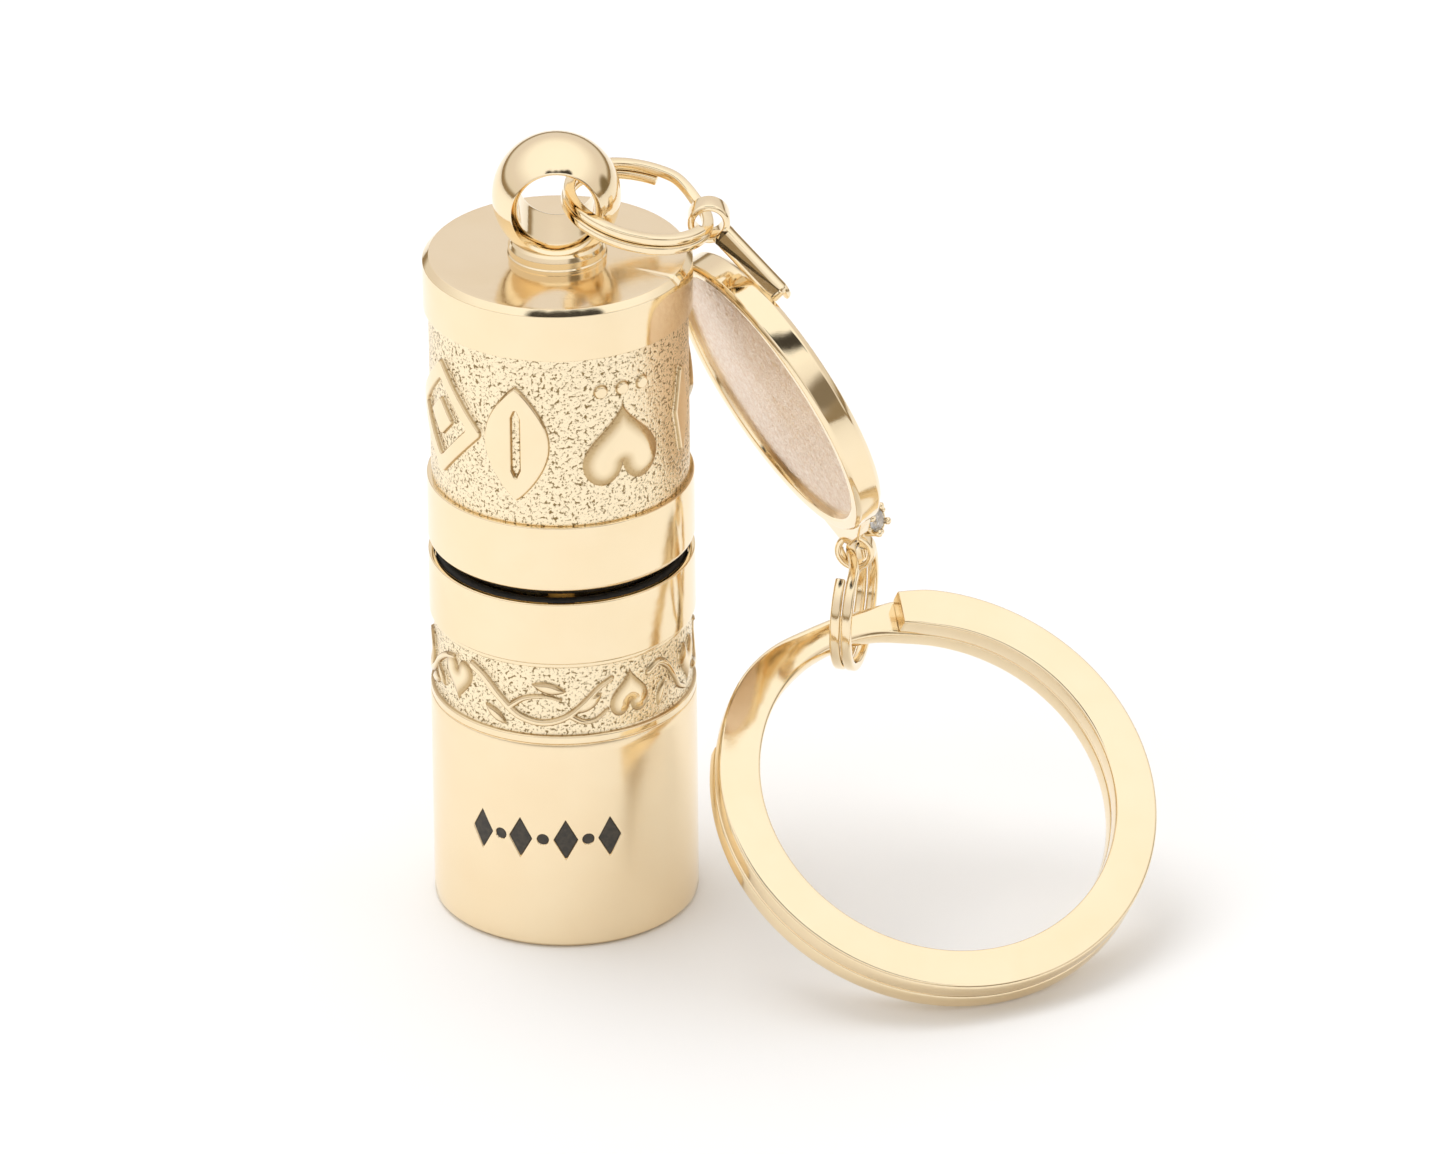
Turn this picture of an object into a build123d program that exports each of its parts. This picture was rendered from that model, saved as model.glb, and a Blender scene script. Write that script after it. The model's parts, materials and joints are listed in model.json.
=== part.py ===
"""Two-dial cryptex vault with an eyelet, a medallion charm and a split key ring.

Units are millimetres, +Z is up.  The vault stands on Z = 0 with its axis on Z.
Azimuth is counted from the front (-Y) and grows towards +X.
"""
import os
from math import cos, radians, sin, sqrt

from build123d import *

os.makedirs("parts", exist_ok=True)

# ------------------------------------------------------------------ driving sizes
R_BODY = 9.0            # outside radius of every stacked ring
R_GROUND = 8.72         # sunk, pebbled ground of the two dials
R_CAP = 9.05            # cap stands just proud of the dial below it
Z_CUP_TOP = 15.60
Z_VINE = (15.70, 21.60)
Z_MID = (21.70, 26.20)
Z_UPPER = (26.75, 31.95)
Z_HEART = (32.05, 44.30)
Z_CAP = (44.40, 48.10)

R_BORE = 7.52           # bore of the cup and of both collars
R_BARREL = 7.50         # outside of both barrels
R_GATE_IN = 7.55        # gate rings run on the barrels with 0.05 clearance
R_GATE_OUT = 8.24
R_DIAL_IN = 8.25
R_KEYWAY = 8.05         # keyways that let the peg tips pass
R_PEG_TIP = 7.95
R_NECK = 6.55           # barrel neck, inside the upper barrel
R_UPPER_IN = 6.62
R_BARREL_IN = 5.70
R_STEM = 5.60
R_STEM_IN = 4.85
KEY_W = 2.0             # keyway and gate width
SLOT_W = 1.8            # barrel slot width
PEG_R = 0.65
Z_LOW_PEG = 16.45
Z_UP_PEG = 42.00

BALL_Z = 52.35
BALL_R = 4.31
BALL_HOLE_R = 2.60
BALL_MOUTH_R = 3.00

MED_C = Vector(14.226, 1.177, 36.707)      # centre of the medallion's sunk face
MED_N = Vector(-0.814, -0.446, -0.372).normalized()
MED_U = Vector(-0.3588, -0.1173, 0.9267)
MED_U = (MED_U - MED_N * MED_U.dot(MED_N)).normalized()
MED_X = MED_U.cross(MED_N).normalized()
MED_R = 10.63
MED_RECESS_R = 9.60
MED_RIM = 0.57
MED_BACK = -1.63

RING_A_C = Vector(5.45, 0.0, 51.45)        # small split ring through the ball
RING_A_N = Vector(0.217, -0.066, 0.974).normalized()
RING_A = (5.20, 0.80, 0.68, 0.04)          # outer radius, radial width, coil, gap

RING_B_C = Vector(19.71, 3.18, 19.69)      # link ring between medallion and key ring
RING_B_N = Vector(0.972, -0.231, -0.029).normalized()
RING_B = (4.50, 0.60, 0.72, 0.06)

RING_K_C = Vector(25.27, -7.31, 11.26)     # centre of the key ring's front face
RING_K_N = Vector(0.2418, -0.5296, 0.8131).normalized()
RING_K = (15.27, 2.91, 1.42, 0.06)

BAIL_P = Vector(10.13, 0.0, 50.41)         # where the bail hangs on the small ring
LUG_P = Vector(19.83, 3.13, 23.89)         # centre of the medallion's lower eye


# ------------------------------------------------------------------ frames
def out_plane(az, z, r=0.0):
    """Plane at height z whose normal points outwards at this azimuth."""
    a = radians(az)
    d = Vector(sin(a), -cos(a), 0)
    return Plane(origin=d * r + Vector(0, 0, z), x_dir=(cos(a), sin(a), 0), z_dir=d)


def ring_dirs(normal, ref=Vector(0, 0, 1)):
    """In-plane directions of a ring: level direction, then the one above it."""
    a = ref.cross(normal)
    if a.length < 1e-6:
        a = Vector(1, 0, 0)
    a = a.normalized()
    return a, normal.cross(a).normalized()


def ring_section(centre, normal, dirs, phi, axial):
    """Plane through the ring's axis at angle phi; x runs outwards, y along the axis."""
    a, b = dirs
    r = a * cos(radians(phi)) + b * sin(radians(phi))
    return Plane(origin=centre + normal * axial, x_dir=r, z_dir=r.cross(normal))


def med_plane(x, y, z, n=None):
    """Plane in the medallion's own frame (x across, y up to the bail, z out of the face)."""
    o = MED_C + MED_X * x + MED_U * y + MED_N * z
    return Plane(origin=o, x_dir=MED_X, z_dir=MED_N if n is None else n)


def band_x(az, az0, r=8.8):
    return r * sin(radians(az - az0))


def ribbon(points, half):
    """Closed outline of a band of this half width along a line of points."""
    left, right = [], []
    for i, (x, y) in enumerate(points):
        x0, y0 = points[max(i - 1, 0)]
        x1, y1 = points[min(i + 1, len(points) - 1)]
        length = sqrt((x1 - x0) ** 2 + (y1 - y0) ** 2)
        nx, ny = -(y1 - y0) / length, (x1 - x0) / length
        left.append((x + nx * half, y + ny * half))
        right.append((x - nx * half, y - ny * half))
    return left + right[::-1] + left[:1]


# ------------------------------------------------------------------ base body
with BuildPart() as base_cup:
    with BuildSketch(Plane.XZ):
        with BuildLine():
            Polyline(
                (0, 0), (R_BODY - 0.35, 0), (R_BODY, 0.35), (R_BODY, Z_CUP_TOP - 0.08),
                (R_BODY - 0.08, Z_CUP_TOP), (R_BORE, Z_CUP_TOP), (R_BORE, 2.5), (0, 2.5), (0, 0),
            )
        make_face()
    revolve(axis=Axis.Z)
    # countersunk hole for the base screw
    with BuildSketch(Plane.XZ):
        with BuildLine():
            Polyline((0, 0), (2.35, 0), (2.35, 0.35), (1.15, 1.55), (1.15, 2.5), (0, 2.5), (0, 0))
        make_face()
    revolve(axis=Axis.Z, mode=Mode.SUBTRACT)
    # engraved row of plain lozenges and dots on the front
    for az, w, h in ((-38, 1.5, 2.9), (-19.5, 1.5, 2.9), (0.5, 1.5, 2.9), (20, 1.5, 2.9)):
        with BuildSketch(out_plane(az, 8.3, R_BODY - 0.14)):
            with BuildLine():
                Polyline((-w / 2, 0), (0, h / 2), (w / 2, 0), (0, -h / 2), (-w / 2, 0))
            make_face()
        extrude(amount=1.0, mode=Mode.SUBTRACT)
    for az in (-28.7, -9.5, 10.3):
        with BuildSketch(out_plane(az, 8.3, R_BODY - 0.14)):
            Circle(0.38)
        extrude(amount=1.0, mode=Mode.SUBTRACT)

with BuildPart() as slotted_barrel:
    with BuildSketch(Plane.XZ):
        with BuildLine():
            Polyline(
                (0, 2.5), (R_BARREL, 2.5), (R_BARREL, 25.9), (R_NECK, 25.9), (R_NECK, 42.85),
                (R_NECK - 0.15, 43.0), (R_BARREL_IN, 43.0), (R_BARREL_IN, 4.5), (0, 4.5), (0, 2.5),
            )
        make_face()
    revolve(axis=Axis.Z)
    with Locations((0, 0, 3.5)):
        Cylinder(0.85, 4.0, mode=Mode.SUBTRACT)
    # long slot at the back for the stem's peg, open at the top
    with BuildSketch(out_plane(180, 0, 4.0)):
        with Locations((0, (15.65 + 44.0) / 2)):
            Rectangle(SLOT_W, 44.0 - 15.65)
    extrude(amount=5.0, mode=Mode.SUBTRACT)
    # seat for the upper peg at the front
    with BuildSketch(out_plane(0, Z_UP_PEG, 4.0)):
        Circle(PEG_R)
    extrude(amount=4.0, mode=Mode.SUBTRACT)

with BuildPart() as mid_collar:
    with BuildSketch(Plane.XZ):
        with BuildLine():
            Polyline(
                (R_BORE, Z_MID[0]), (R_BODY - 0.08, Z_MID[0]), (R_BODY, Z_MID[0] + 0.08),
                (R_BODY, Z_MID[1] - 0.08), (R_BODY - 0.08, Z_MID[1]), (8.62, Z_MID[1]),
                (8.62, 25.40), (R_BORE, 25.40), (R_BORE, Z_MID[0]),
            )
        make_face()
    revolve(axis=Axis.Z)
    with BuildSketch(out_plane(180, (Z_MID[0] + 25.5) / 2, 7.0)):
        Rectangle(KEY_W, 5.0)
    extrude(amount=R_KEYWAY - 7.0, mode=Mode.SUBTRACT)
    # pocket for the detent ball and its spring
    with Locations((7.90, 0, Z_MID[0] + 1.175)):
        Cylinder(0.33, 2.35, mode=Mode.SUBTRACT)

with BuildPart() as seal_o_ring:
    with BuildSketch(Plane.XZ):
        with Locations((8.07, 25.40 + 0.43)):
            Circle(0.42)
    revolve(axis=Axis.Z)

with BuildPart() as base_screw:
    with BuildSketch(Plane.XZ):
        with BuildLine():
            Polyline((0, 0.08), (2.05, 0.08), (2.22, 0.25), (2.22, 0.35), (1.0, 1.57), (1.0, 1.9),
                     (0.82, 2.1), (0.82, 4.2), (0, 4.2), (0, 0.08))
        make_face()
    revolve(axis=Axis.Z)
    # cross recess
    with BuildSketch(Plane.XY.offset(0.0)):
        Rectangle(2.6, 0.5)
        Rectangle(0.5, 2.6)
    extrude(amount=0.75, mode=Mode.SUBTRACT)

with BuildPart() as upper_peg:
    with BuildSketch(out_plane(0, Z_UP_PEG, R_BARREL_IN + 0.02)):
        Circle(PEG_R - 0.01)
    extrude(amount=R_PEG_TIP - R_BARREL_IN - 0.02)
    fillet(upper_peg.edges().sort_by(Axis.Y)[0], 0.15)

with BuildPart() as lower_detent_ball:
    with Locations((7.90, 0, 21.92)):
        Sphere(0.30)

with BuildPart() as lower_detent_spring:
    with BuildLine() as lower_spring_path:
        Helix(pitch=0.30, height=1.60, radius=0.21, center=(7.90, 0, 22.31))
    with BuildSketch(Plane(origin=lower_spring_path.line @ 0, z_dir=lower_spring_path.line % 0)):
        Circle(0.055)
    sweep(path=lower_spring_path.line, is_frenet=True)

# ------------------------------------------------------------------ vine dial body
VINE_H = Z_VINE[1] - Z_VINE[0]
vine_shell = Pos(0, 0, sum(Z_VINE) / 2) * (Cylinder(R_BODY, VINE_H) - Cylinder(8.45, VINE_H + 1))
with BuildPart() as vine_dial:
    for turn in (0, 180):
        # opened bud, S-curved stem and leaf, second bud, small end bud
        for az0, cz, s in ((-44, 18.6, 1.15), (24, 17.7, 1.25), (58, 18.5, 0.95), (97, 18.8, 1.10)):
            with BuildSketch(out_plane(az0 + turn, cz)):
                with BuildLine():
                    Polyline((0, -1.75 * s), (1.05 * s, -0.6 * s), (1.45 * s, 0.45 * s), (1.05 * s, 1.25 * s),
                             (0.45 * s, 1.30 * s), (0, 0.75 * s), (-0.45 * s, 1.30 * s), (-1.05 * s, 1.25 * s),
                             (-1.45 * s, 0.45 * s), (-1.05 * s, -0.6 * s), (0, -1.75 * s))
                make_face()
            extrude(amount=12.0)
        with BuildSketch(out_plane(-14 + turn, 18.5)):
            with BuildLine():
                Polyline(*ribbon(((-3.9, 1.3), (-2.9, 0.75), (-2.1, -0.1), (-1.4, -1.0), (-0.5, -1.45), (0.6, -1.4),
                                  (1.5, -0.75), (2.3, 0.15), (3.1, 0.7), (3.9, 0.9)), 0.28))
            make_face()
        extrude(amount=12.0)
        with BuildSketch(out_plane(77 + turn, 18.2)):
            with BuildLine():
                Polyline(*ribbon(((-2.0, -0.7), (-1.5, 0.3), (-0.6, 0.95), (0.5, 1.0), (1.4, 0.55), (2.2, -0.2)), 0.28))
            make_face()
        extrude(amount=12.0)
    add(vine_shell, mode=Mode.INTERSECT)
    with BuildSketch(Plane.XZ):
        with BuildLine():
            Polyline((R_DIAL_IN, Z_VINE[0]), (8.92, Z_VINE[0]), (8.92, Z_VINE[0] + 0.35),
                     (R_GROUND, Z_VINE[0] + 0.55), (R_GROUND, Z_VINE[1] - 0.30),
                     (8.75, Z_VINE[1] - 0.12), (8.75, Z_VINE[1]), (R_DIAL_IN, Z_VINE[1]),
                     (R_DIAL_IN, Z_VINE[0]))
        make_face()
    revolve(axis=Axis.Z)

with BuildPart() as vine_gate_ring:
    with Locations((0, 0, (17.30 + Z_VINE[1]) / 2)):
        Cylinder(R_GATE_OUT, Z_VINE[1] - 17.30)
        Cylinder(R_GATE_IN, Z_VINE[1] - 17.30, mode=Mode.SUBTRACT)
    with BuildSketch(out_plane(180, 19.4, 7.0)):
        Rectangle(KEY_W, 6.0)
    extrude(amount=R_KEYWAY - 7.0, mode=Mode.SUBTRACT)
    # shallow false gates
    for az in (36, 72, 108, 252, 288, 324):
        with BuildSketch(out_plane(az, 17.3, 7.0)):
            Rectangle(KEY_W, 1.2)
        extrude(amount=R_KEYWAY - 7.0, mode=Mode.SUBTRACT)

# ------------------------------------------------------------------ upper body
with BuildPart() as upper_barrel:
    with BuildSketch(Plane.XZ):
        with BuildLine():
            Polyline((R_UPPER_IN, 26.10), (R_BARREL, 26.10), (R_BARREL, 45.30), (R_UPPER_IN, 45.30),
                     (R_UPPER_IN, 26.10))
        make_face()
    revolve(axis=Axis.Z)
    with BuildSketch(out_plane(0, (25.0 + 42.95) / 2, 5.5)):
        Rectangle(SLOT_W, 42.95 - 25.0)
    extrude(amount=3.0, mode=Mode.SUBTRACT)

with BuildPart() as upper_collar:
    with BuildSketch(Plane.XZ):
        with BuildLine():
            Polyline((R_BORE, Z_UPPER[0]), (8.38, Z_UPPER[0]), (8.66, Z_UPPER[0] + 0.07),
                     (8.88, Z_UPPER[0] + 0.24), (R_BODY, Z_UPPER[0] + 0.55),
                     (R_BODY, Z_UPPER[1] - 0.08), (R_BODY - 0.08, Z_UPPER[1]),
                     (R_BORE, Z_UPPER[1]), (R_BORE, Z_UPPER[0]))
        make_face()
    revolve(axis=Axis.Z)
    with BuildSketch(out_plane(0, sum(Z_UPPER) / 2, 7.0)):
        Rectangle(KEY_W, 6.0)
    extrude(amount=R_KEYWAY - 7.0, mode=Mode.SUBTRACT)
    with Locations((7.90, 0, Z_UPPER[1] - 1.175)):
        Cylinder(0.33, 2.35, mode=Mode.SUBTRACT)

with BuildPart() as top_cap:
    with BuildSketch(Plane.XZ):
        with BuildLine():
            Polyline((0, Z_CAP[0]), (R_CAP - 0.08, Z_CAP[0]), (R_CAP, Z_CAP[0] + 0.08), (R_CAP, Z_CAP[1] - 0.40),
                     (R_CAP - 0.12, Z_CAP[1] - 0.12), (R_CAP - 0.42, Z_CAP[1]), (0, Z_CAP[1]), (0, Z_CAP[0]))
        make_face()
    revolve(axis=Axis.Z)
    # seats of the barrel and of the stem, and the eyelet's stud hole
    with BuildSketch(Plane.XZ):
        with BuildLine():
            Polyline((R_UPPER_IN - 0.02, Z_CAP[0]), (R_BARREL + 0.02, Z_CAP[0]), (R_BARREL + 0.02, 45.32),
                     (R_UPPER_IN - 0.02, 45.32), (R_UPPER_IN - 0.02, Z_CAP[0]))
        make_face()
        with BuildLine():
            Polyline((R_STEM_IN - 0.02, Z_CAP[0]), (R_STEM + 0.02, Z_CAP[0]), (R_STEM + 0.02, 45.32),
                     (R_STEM_IN - 0.02, 45.32), (R_STEM_IN - 0.02, Z_CAP[0]))
        make_face()
    revolve(axis=Axis.Z, mode=Mode.SUBTRACT)
    with Locations((0, 0, sum(Z_CAP) / 2)):
        Cylinder(1.52, 6.0, mode=Mode.SUBTRACT)
    # index nick in the rim
    with BuildSketch(out_plane(63, Z_CAP[1], 8.3)):
        Rectangle(0.45, 0.5)
    extrude(amount=1.5, mode=Mode.SUBTRACT)

with BuildPart() as vault_stem:
    with BuildSketch(Plane.XZ):
        with BuildLine():
            Polyline((R_STEM_IN, 4.80), (R_STEM - 0.2, 4.80), (R_STEM, 5.0), (R_STEM, 45.30),
                     (R_STEM_IN, 45.30), (R_STEM_IN, 4.80))
        make_face()
    revolve(axis=Axis.Z)
    with BuildSketch(out_plane(180, Z_LOW_PEG, 4.0)):
        Circle(PEG_R)
    extrude(amount=2.5, mode=Mode.SUBTRACT)

with BuildPart() as lower_peg:
    with BuildSketch(out_plane(180, Z_LOW_PEG, R_STEM_IN + 0.02)):
        Circle(PEG_R - 0.01)
    extrude(amount=R_PEG_TIP - R_STEM_IN - 0.02)
    fillet(lower_peg.edges().sort_by(Axis.Y)[-1], 0.15)

with BuildPart() as ball_eyelet:
    with Locations((0, 0, BALL_Z)):
        Sphere(BALL_R)
    with BuildSketch(Plane.XZ):
        with BuildLine():
            Polyline((0, 42.60), (1.35, 42.60), (1.50, 42.75), (1.50, Z_CAP[1]), (3.35, Z_CAP[1]),
                     (3.35, 48.80), (3.15, 49.12), (2.90, 49.35), (0, 49.35), (0, 42.60))
        make_face()
    revolve(axis=Axis.Z)
    with BuildSketch(Plane.XZ.offset(-6)):
        with Locations((0, BALL_Z)):
            Circle(BALL_HOLE_R)
    extrude(amount=12, mode=Mode.SUBTRACT)
    # flared mouths on both sides
    mouth_y = sqrt(BALL_R**2 - BALL_MOUTH_R**2)
    with BuildSketch(Plane.YZ):
        for s in (-1, 1):
            with BuildLine():
                Polyline((s * (mouth_y - 0.6), BALL_Z), (s * (mouth_y - 0.6), BALL_Z + BALL_HOLE_R),
                         (s * mouth_y, BALL_Z + BALL_MOUTH_R), (s * (mouth_y + 0.45), BALL_Z + BALL_MOUTH_R + 0.4),
                         (s * 4.6, BALL_Z + BALL_MOUTH_R + 0.4), (s * 4.6, BALL_Z), (s * (mouth_y - 0.6), BALL_Z))
            make_face()
    revolve(axis=Axis((0, 0, BALL_Z), (0, 1, 0)), mode=Mode.SUBTRACT)

with BuildPart() as eyelet_nut:
    with BuildSketch(Plane.XY.offset(42.55)):
        RegularPolygon(2.9, 6)
        Circle(1.52, mode=Mode.SUBTRACT)
    extrude(amount=1.83)
    chamfer(eyelet_nut.edges().group_by(Axis.Z)[0].filter_by(GeomType.LINE), 0.15)

with BuildPart() as upper_detent_ball:
    with Locations((7.90, 0, 31.73)):
        Sphere(0.30)

with BuildPart() as upper_detent_spring:
    with BuildLine() as upper_spring_path:
        Helix(pitch=0.30, height=1.60, radius=0.21, center=(7.90, 0, 29.74))
    with BuildSketch(Plane(origin=upper_spring_path.line @ 0, z_dir=upper_spring_path.line % 0)):
        Circle(0.055)
    sweep(path=upper_spring_path.line, is_frenet=True)

# ------------------------------------------------------------------ heart dial body
HEART_H = Z_HEART[1] - Z_HEART[0]
heart_shell = Pos(0, 0, sum(Z_HEART) / 2) * (Cylinder(R_BODY, HEART_H) - Cylinder(8.45, HEART_H + 1))
with BuildPart() as heart_dial:
    for turn in (0, 180):
        # lozenge frame with a small lozenge inside
        with BuildSketch(out_plane(-62 + turn, 0)):
            with BuildLine():
                Polyline((-4.05, 38.1), (0, 33.8), (4.05, 38.1), (0, 42.4), (-4.05, 38.1))
            make_face()
            with BuildLine():
                Polyline((-2.75, 38.1), (0, 35.2), (2.75, 38.1), (0, 41.0), (-2.75, 38.1))
            make_face(mode=Mode.SUBTRACT)
            with BuildLine():
                Polyline((-1.40, 38.1), (0, 36.65), (1.40, 38.1), (0, 39.55), (-1.40, 38.1))
            make_face()
        extrude(amount=12.0)
        # leaf with a slot for its vein
        with BuildSketch(out_plane(-19 + turn, 0)):
            with BuildLine():
                Polyline((0, 42.2), (1.05, 41.0), (1.85, 39.6), (2.25, 38.0), (1.85, 36.4), (1.05, 35.0), (0, 33.8),
                         (-1.05, 35.0), (-1.85, 36.4), (-2.25, 38.0), (-1.85, 39.6), (-1.05, 41.0), (0, 42.2))
            make_face()
            with BuildLine():
                Polyline((-0.32, 36.1), (0, 35.4), (0.32, 36.1), (0.32, 39.9), (0, 40.6), (-0.32, 39.9), (-0.32, 36.1))
            make_face(mode=Mode.SUBTRACT)
        extrude(amount=12.0)
        # point-up heart and three studs above it
        with BuildSketch(out_plane(29 + turn, 0)):
            with BuildLine():
                Polyline((0, 40.75), (-1.5, 39.2), (-2.7, 37.7), (-3.15, 36.5), (-2.75, 35.3), (-1.9, 34.8),
                         (-0.9, 34.95), (0, 35.9), (0.9, 34.95), (1.9, 34.8), (2.75, 35.3), (3.15, 36.5),
                         (2.7, 37.7), (1.5, 39.2), (0, 40.75))
            make_face()
            with Locations((-1.6, 41.8), (0, 41.8), (1.6, 41.8)):
                Circle(0.45)
        extrude(amount=12.0)
        # tall narrow lozenge
        with BuildSketch(out_plane(67 + turn, 0)):
            with BuildLine():
                Polyline((-0.95, 38.15), (0, 34.2), (0.95, 38.15), (0, 42.1), (-0.95, 38.15))
            make_face()
        extrude(amount=12.0)
    add(heart_shell, mode=Mode.INTERSECT)
    with Locations((0, 0, sum(Z_HEART) / 2)):
        Cylinder(R_GROUND, HEART_H)
        Cylinder(R_DIAL_IN, HEART_H + 1, mode=Mode.SUBTRACT)

with BuildPart() as heart_gate_ring:
    with Locations((0, 0, (Z_HEART[0] + 40.90) / 2)):
        Cylinder(R_GATE_OUT, 40.90 - Z_HEART[0])
        Cylinder(R_GATE_IN, 40.90 - Z_HEART[0], mode=Mode.SUBTRACT)
    with BuildSketch(out_plane(0, 36.5, 7.0)):
        Rectangle(KEY_W, 12.0)
    extrude(amount=R_KEYWAY - 7.0, mode=Mode.SUBTRACT)
    for az in (36, 72, 108, 144, 216, 252, 288, 324):
        with BuildSketch(out_plane(az, 40.90, 7.0)):
            Rectangle(KEY_W, 1.2)
        extrude(amount=R_KEYWAY - 7.0, mode=Mode.SUBTRACT)

# ------------------------------------------------------------------ small split ring
A_RO, A_W, A_T, A_G = RING_A
A_DIRS = ring_dirs(RING_A_N, Vector(0, 1, 0))
with BuildPart() as eyelet_ring:
    A_TOP, A_LOW = (A_T + A_G) / 2, -(A_T + A_G) / 2
    with BuildSketch(ring_section(RING_A_C, RING_A_N, A_DIRS, 60, A_TOP)):
        with Locations((A_RO - A_W / 2, 0)):
            RectangleRounded(A_W, A_T, 0.16)
    revolve(axis=Axis(RING_A_C, RING_A_N), revolution_arc=270)
    with BuildSketch(ring_section(RING_A_C, RING_A_N, A_DIRS, 75, A_LOW)):
        with Locations((A_RO - A_W / 2, 0)):
            RectangleRounded(A_W, A_T, 0.16)
    revolve(axis=Axis(RING_A_C, RING_A_N), revolution_arc=318)
    for phi, off in ((60, A_TOP), (52, A_TOP * 0.45), (41, -A_TOP * 0.45), (33, A_LOW)):
        with BuildSketch(ring_section(RING_A_C, RING_A_N, A_DIRS, phi, off)):
            with Locations((A_RO - A_W / 2, 0)):
                RectangleRounded(A_W, A_T, 0.16)
    loft(ruled=True)

# ------------------------------------------------------------------ medallion body
with BuildPart() as medallion_disc:
    with BuildSketch(Plane(origin=MED_C, x_dir=MED_X, z_dir=MED_X.cross(MED_N))):
        with BuildLine():
            Polyline((0, 0), (MED_RECESS_R, 0), (MED_RECESS_R + 0.12, MED_RIM - 0.10),
                     (MED_RECESS_R + 0.25, MED_RIM), (MED_R - 0.30, MED_RIM), (MED_R - 0.08, MED_RIM - 0.12),
                     (MED_R, MED_RIM - 0.40), (MED_R, MED_BACK + 0.45), (MED_R - 0.12, MED_BACK + 0.15),
                     (MED_R - 0.45, MED_BACK), (0, MED_BACK), (0, 0))
        make_face()
    revolve(axis=Axis(MED_C, MED_N))
    # tapering lower plate that carries the eye
    with BuildSketch(med_plane(0, 0, -1.15)):
        with BuildLine():
            Polyline((-5.4, -9.0), (-3.5, -11.2), (-0.60, -13.3), (0.60, -13.3), (3.5, -11.2),
                     (5.4, -9.0), (-5.4, -9.0))
        make_face()
    extrude(amount=1.0)
    EYE_W = Vector(0, 0, 1).cross(RING_B_N).normalized()
    EYE_O = LUG_P - EYE_W * 0.5
    with BuildSketch(Plane(origin=EYE_O, x_dir=RING_B_N, z_dir=EYE_W)):
        Circle(1.38)
    extrude(amount=1.0)
    with BuildSketch(Plane(origin=EYE_O - EYE_W * 1.5, x_dir=RING_B_N, z_dir=EYE_W)):
        Circle(0.92)
    extrude(amount=4.0, mode=Mode.SUBTRACT)
    # seat for the rivet
    with BuildSketch(med_plane(3.95, 8.85, MED_BACK - 0.5)):
        Circle(0.36)
    extrude(amount=1.5, mode=Mode.SUBTRACT)

BAIL_E = MED_C + MED_X * 4.1 + MED_U * 8.9 + MED_N * -2.3     # middle of the bar's foot
BAIL_1 = (BAIL_E - BAIL_P).normalized()
BAIL_3 = (Vector(0, 1, 0) - BAIL_1 * BAIL_1.Y).normalized()
BAIL_2 = BAIL_3.cross(BAIL_1)

with BuildPart() as bail_strap:
    # eye around the small ring
    BAIL_Y = Vector(0, 1, 0)
    with BuildSketch(Plane(origin=BAIL_P - BAIL_Y * 0.85, x_dir=(1, 0, 0), z_dir=BAIL_Y)):
        Circle(1.42)
    extrude(amount=1.70)
    # bar from the eye down to the medallion's edge and back
    with BuildSketch(Plane(origin=BAIL_P - BAIL_3 * 0.60, x_dir=BAIL_1, z_dir=BAIL_3)):
        with BuildLine():
            Polyline((0.60, -0.74), (6.95, -0.74), (7.10, -0.55), (7.10, 0.55), (6.95, 0.74), (0.60, 0.74), (0.60, -0.74))
        make_face()
    extrude(amount=1.20)
    with BuildSketch(Plane(origin=BAIL_P - BAIL_Y * 3, x_dir=(1, 0, 0), z_dir=BAIL_Y)):
        Circle(1.00)
    extrude(amount=6.0, mode=Mode.SUBTRACT)
    # it lies against the medallion
    with BuildSketch(med_plane(0, 0, MED_BACK - 0.02)):
        Circle(MED_R + 0.02)
    extrude(amount=3.0, mode=Mode.SUBTRACT)
    with BuildSketch(med_plane(3.95, 8.85, MED_BACK - 2.0)):
        Circle(0.38)
    extrude(amount=3.0, mode=Mode.SUBTRACT)
    # flat seat of the rivet's head
    with BuildSketch(med_plane(3.95, 8.85, -2.62)):
        Circle(0.67)
    extrude(amount=-1.5, mode=Mode.SUBTRACT)

with BuildPart() as bail_rivet:
    with BuildSketch(med_plane(3.95, 8.85, MED_BACK + 0.90)):
        Circle(0.34)
    extrude(amount=-1.90)
    with BuildSketch(med_plane(3.95, 8.85, -2.63)):
        Circle(0.65)
    extrude(amount=-0.40, taper=25)

ST_A = (MED_X * 0.85 - MED_N * 0.53).normalized()      # the stone faces along this
ST_P = MED_C + MED_X * 1.2 + MED_U * -12.0 + MED_N * -2.2


def stone_plane(u, v, h):
    """Plane square to the stone's axis, h along it."""
    side = MED_U.cross(ST_A).normalized()
    return Plane(origin=ST_P + MED_U * u + side * v + ST_A * h, x_dir=MED_U, z_dir=ST_A)


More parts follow.
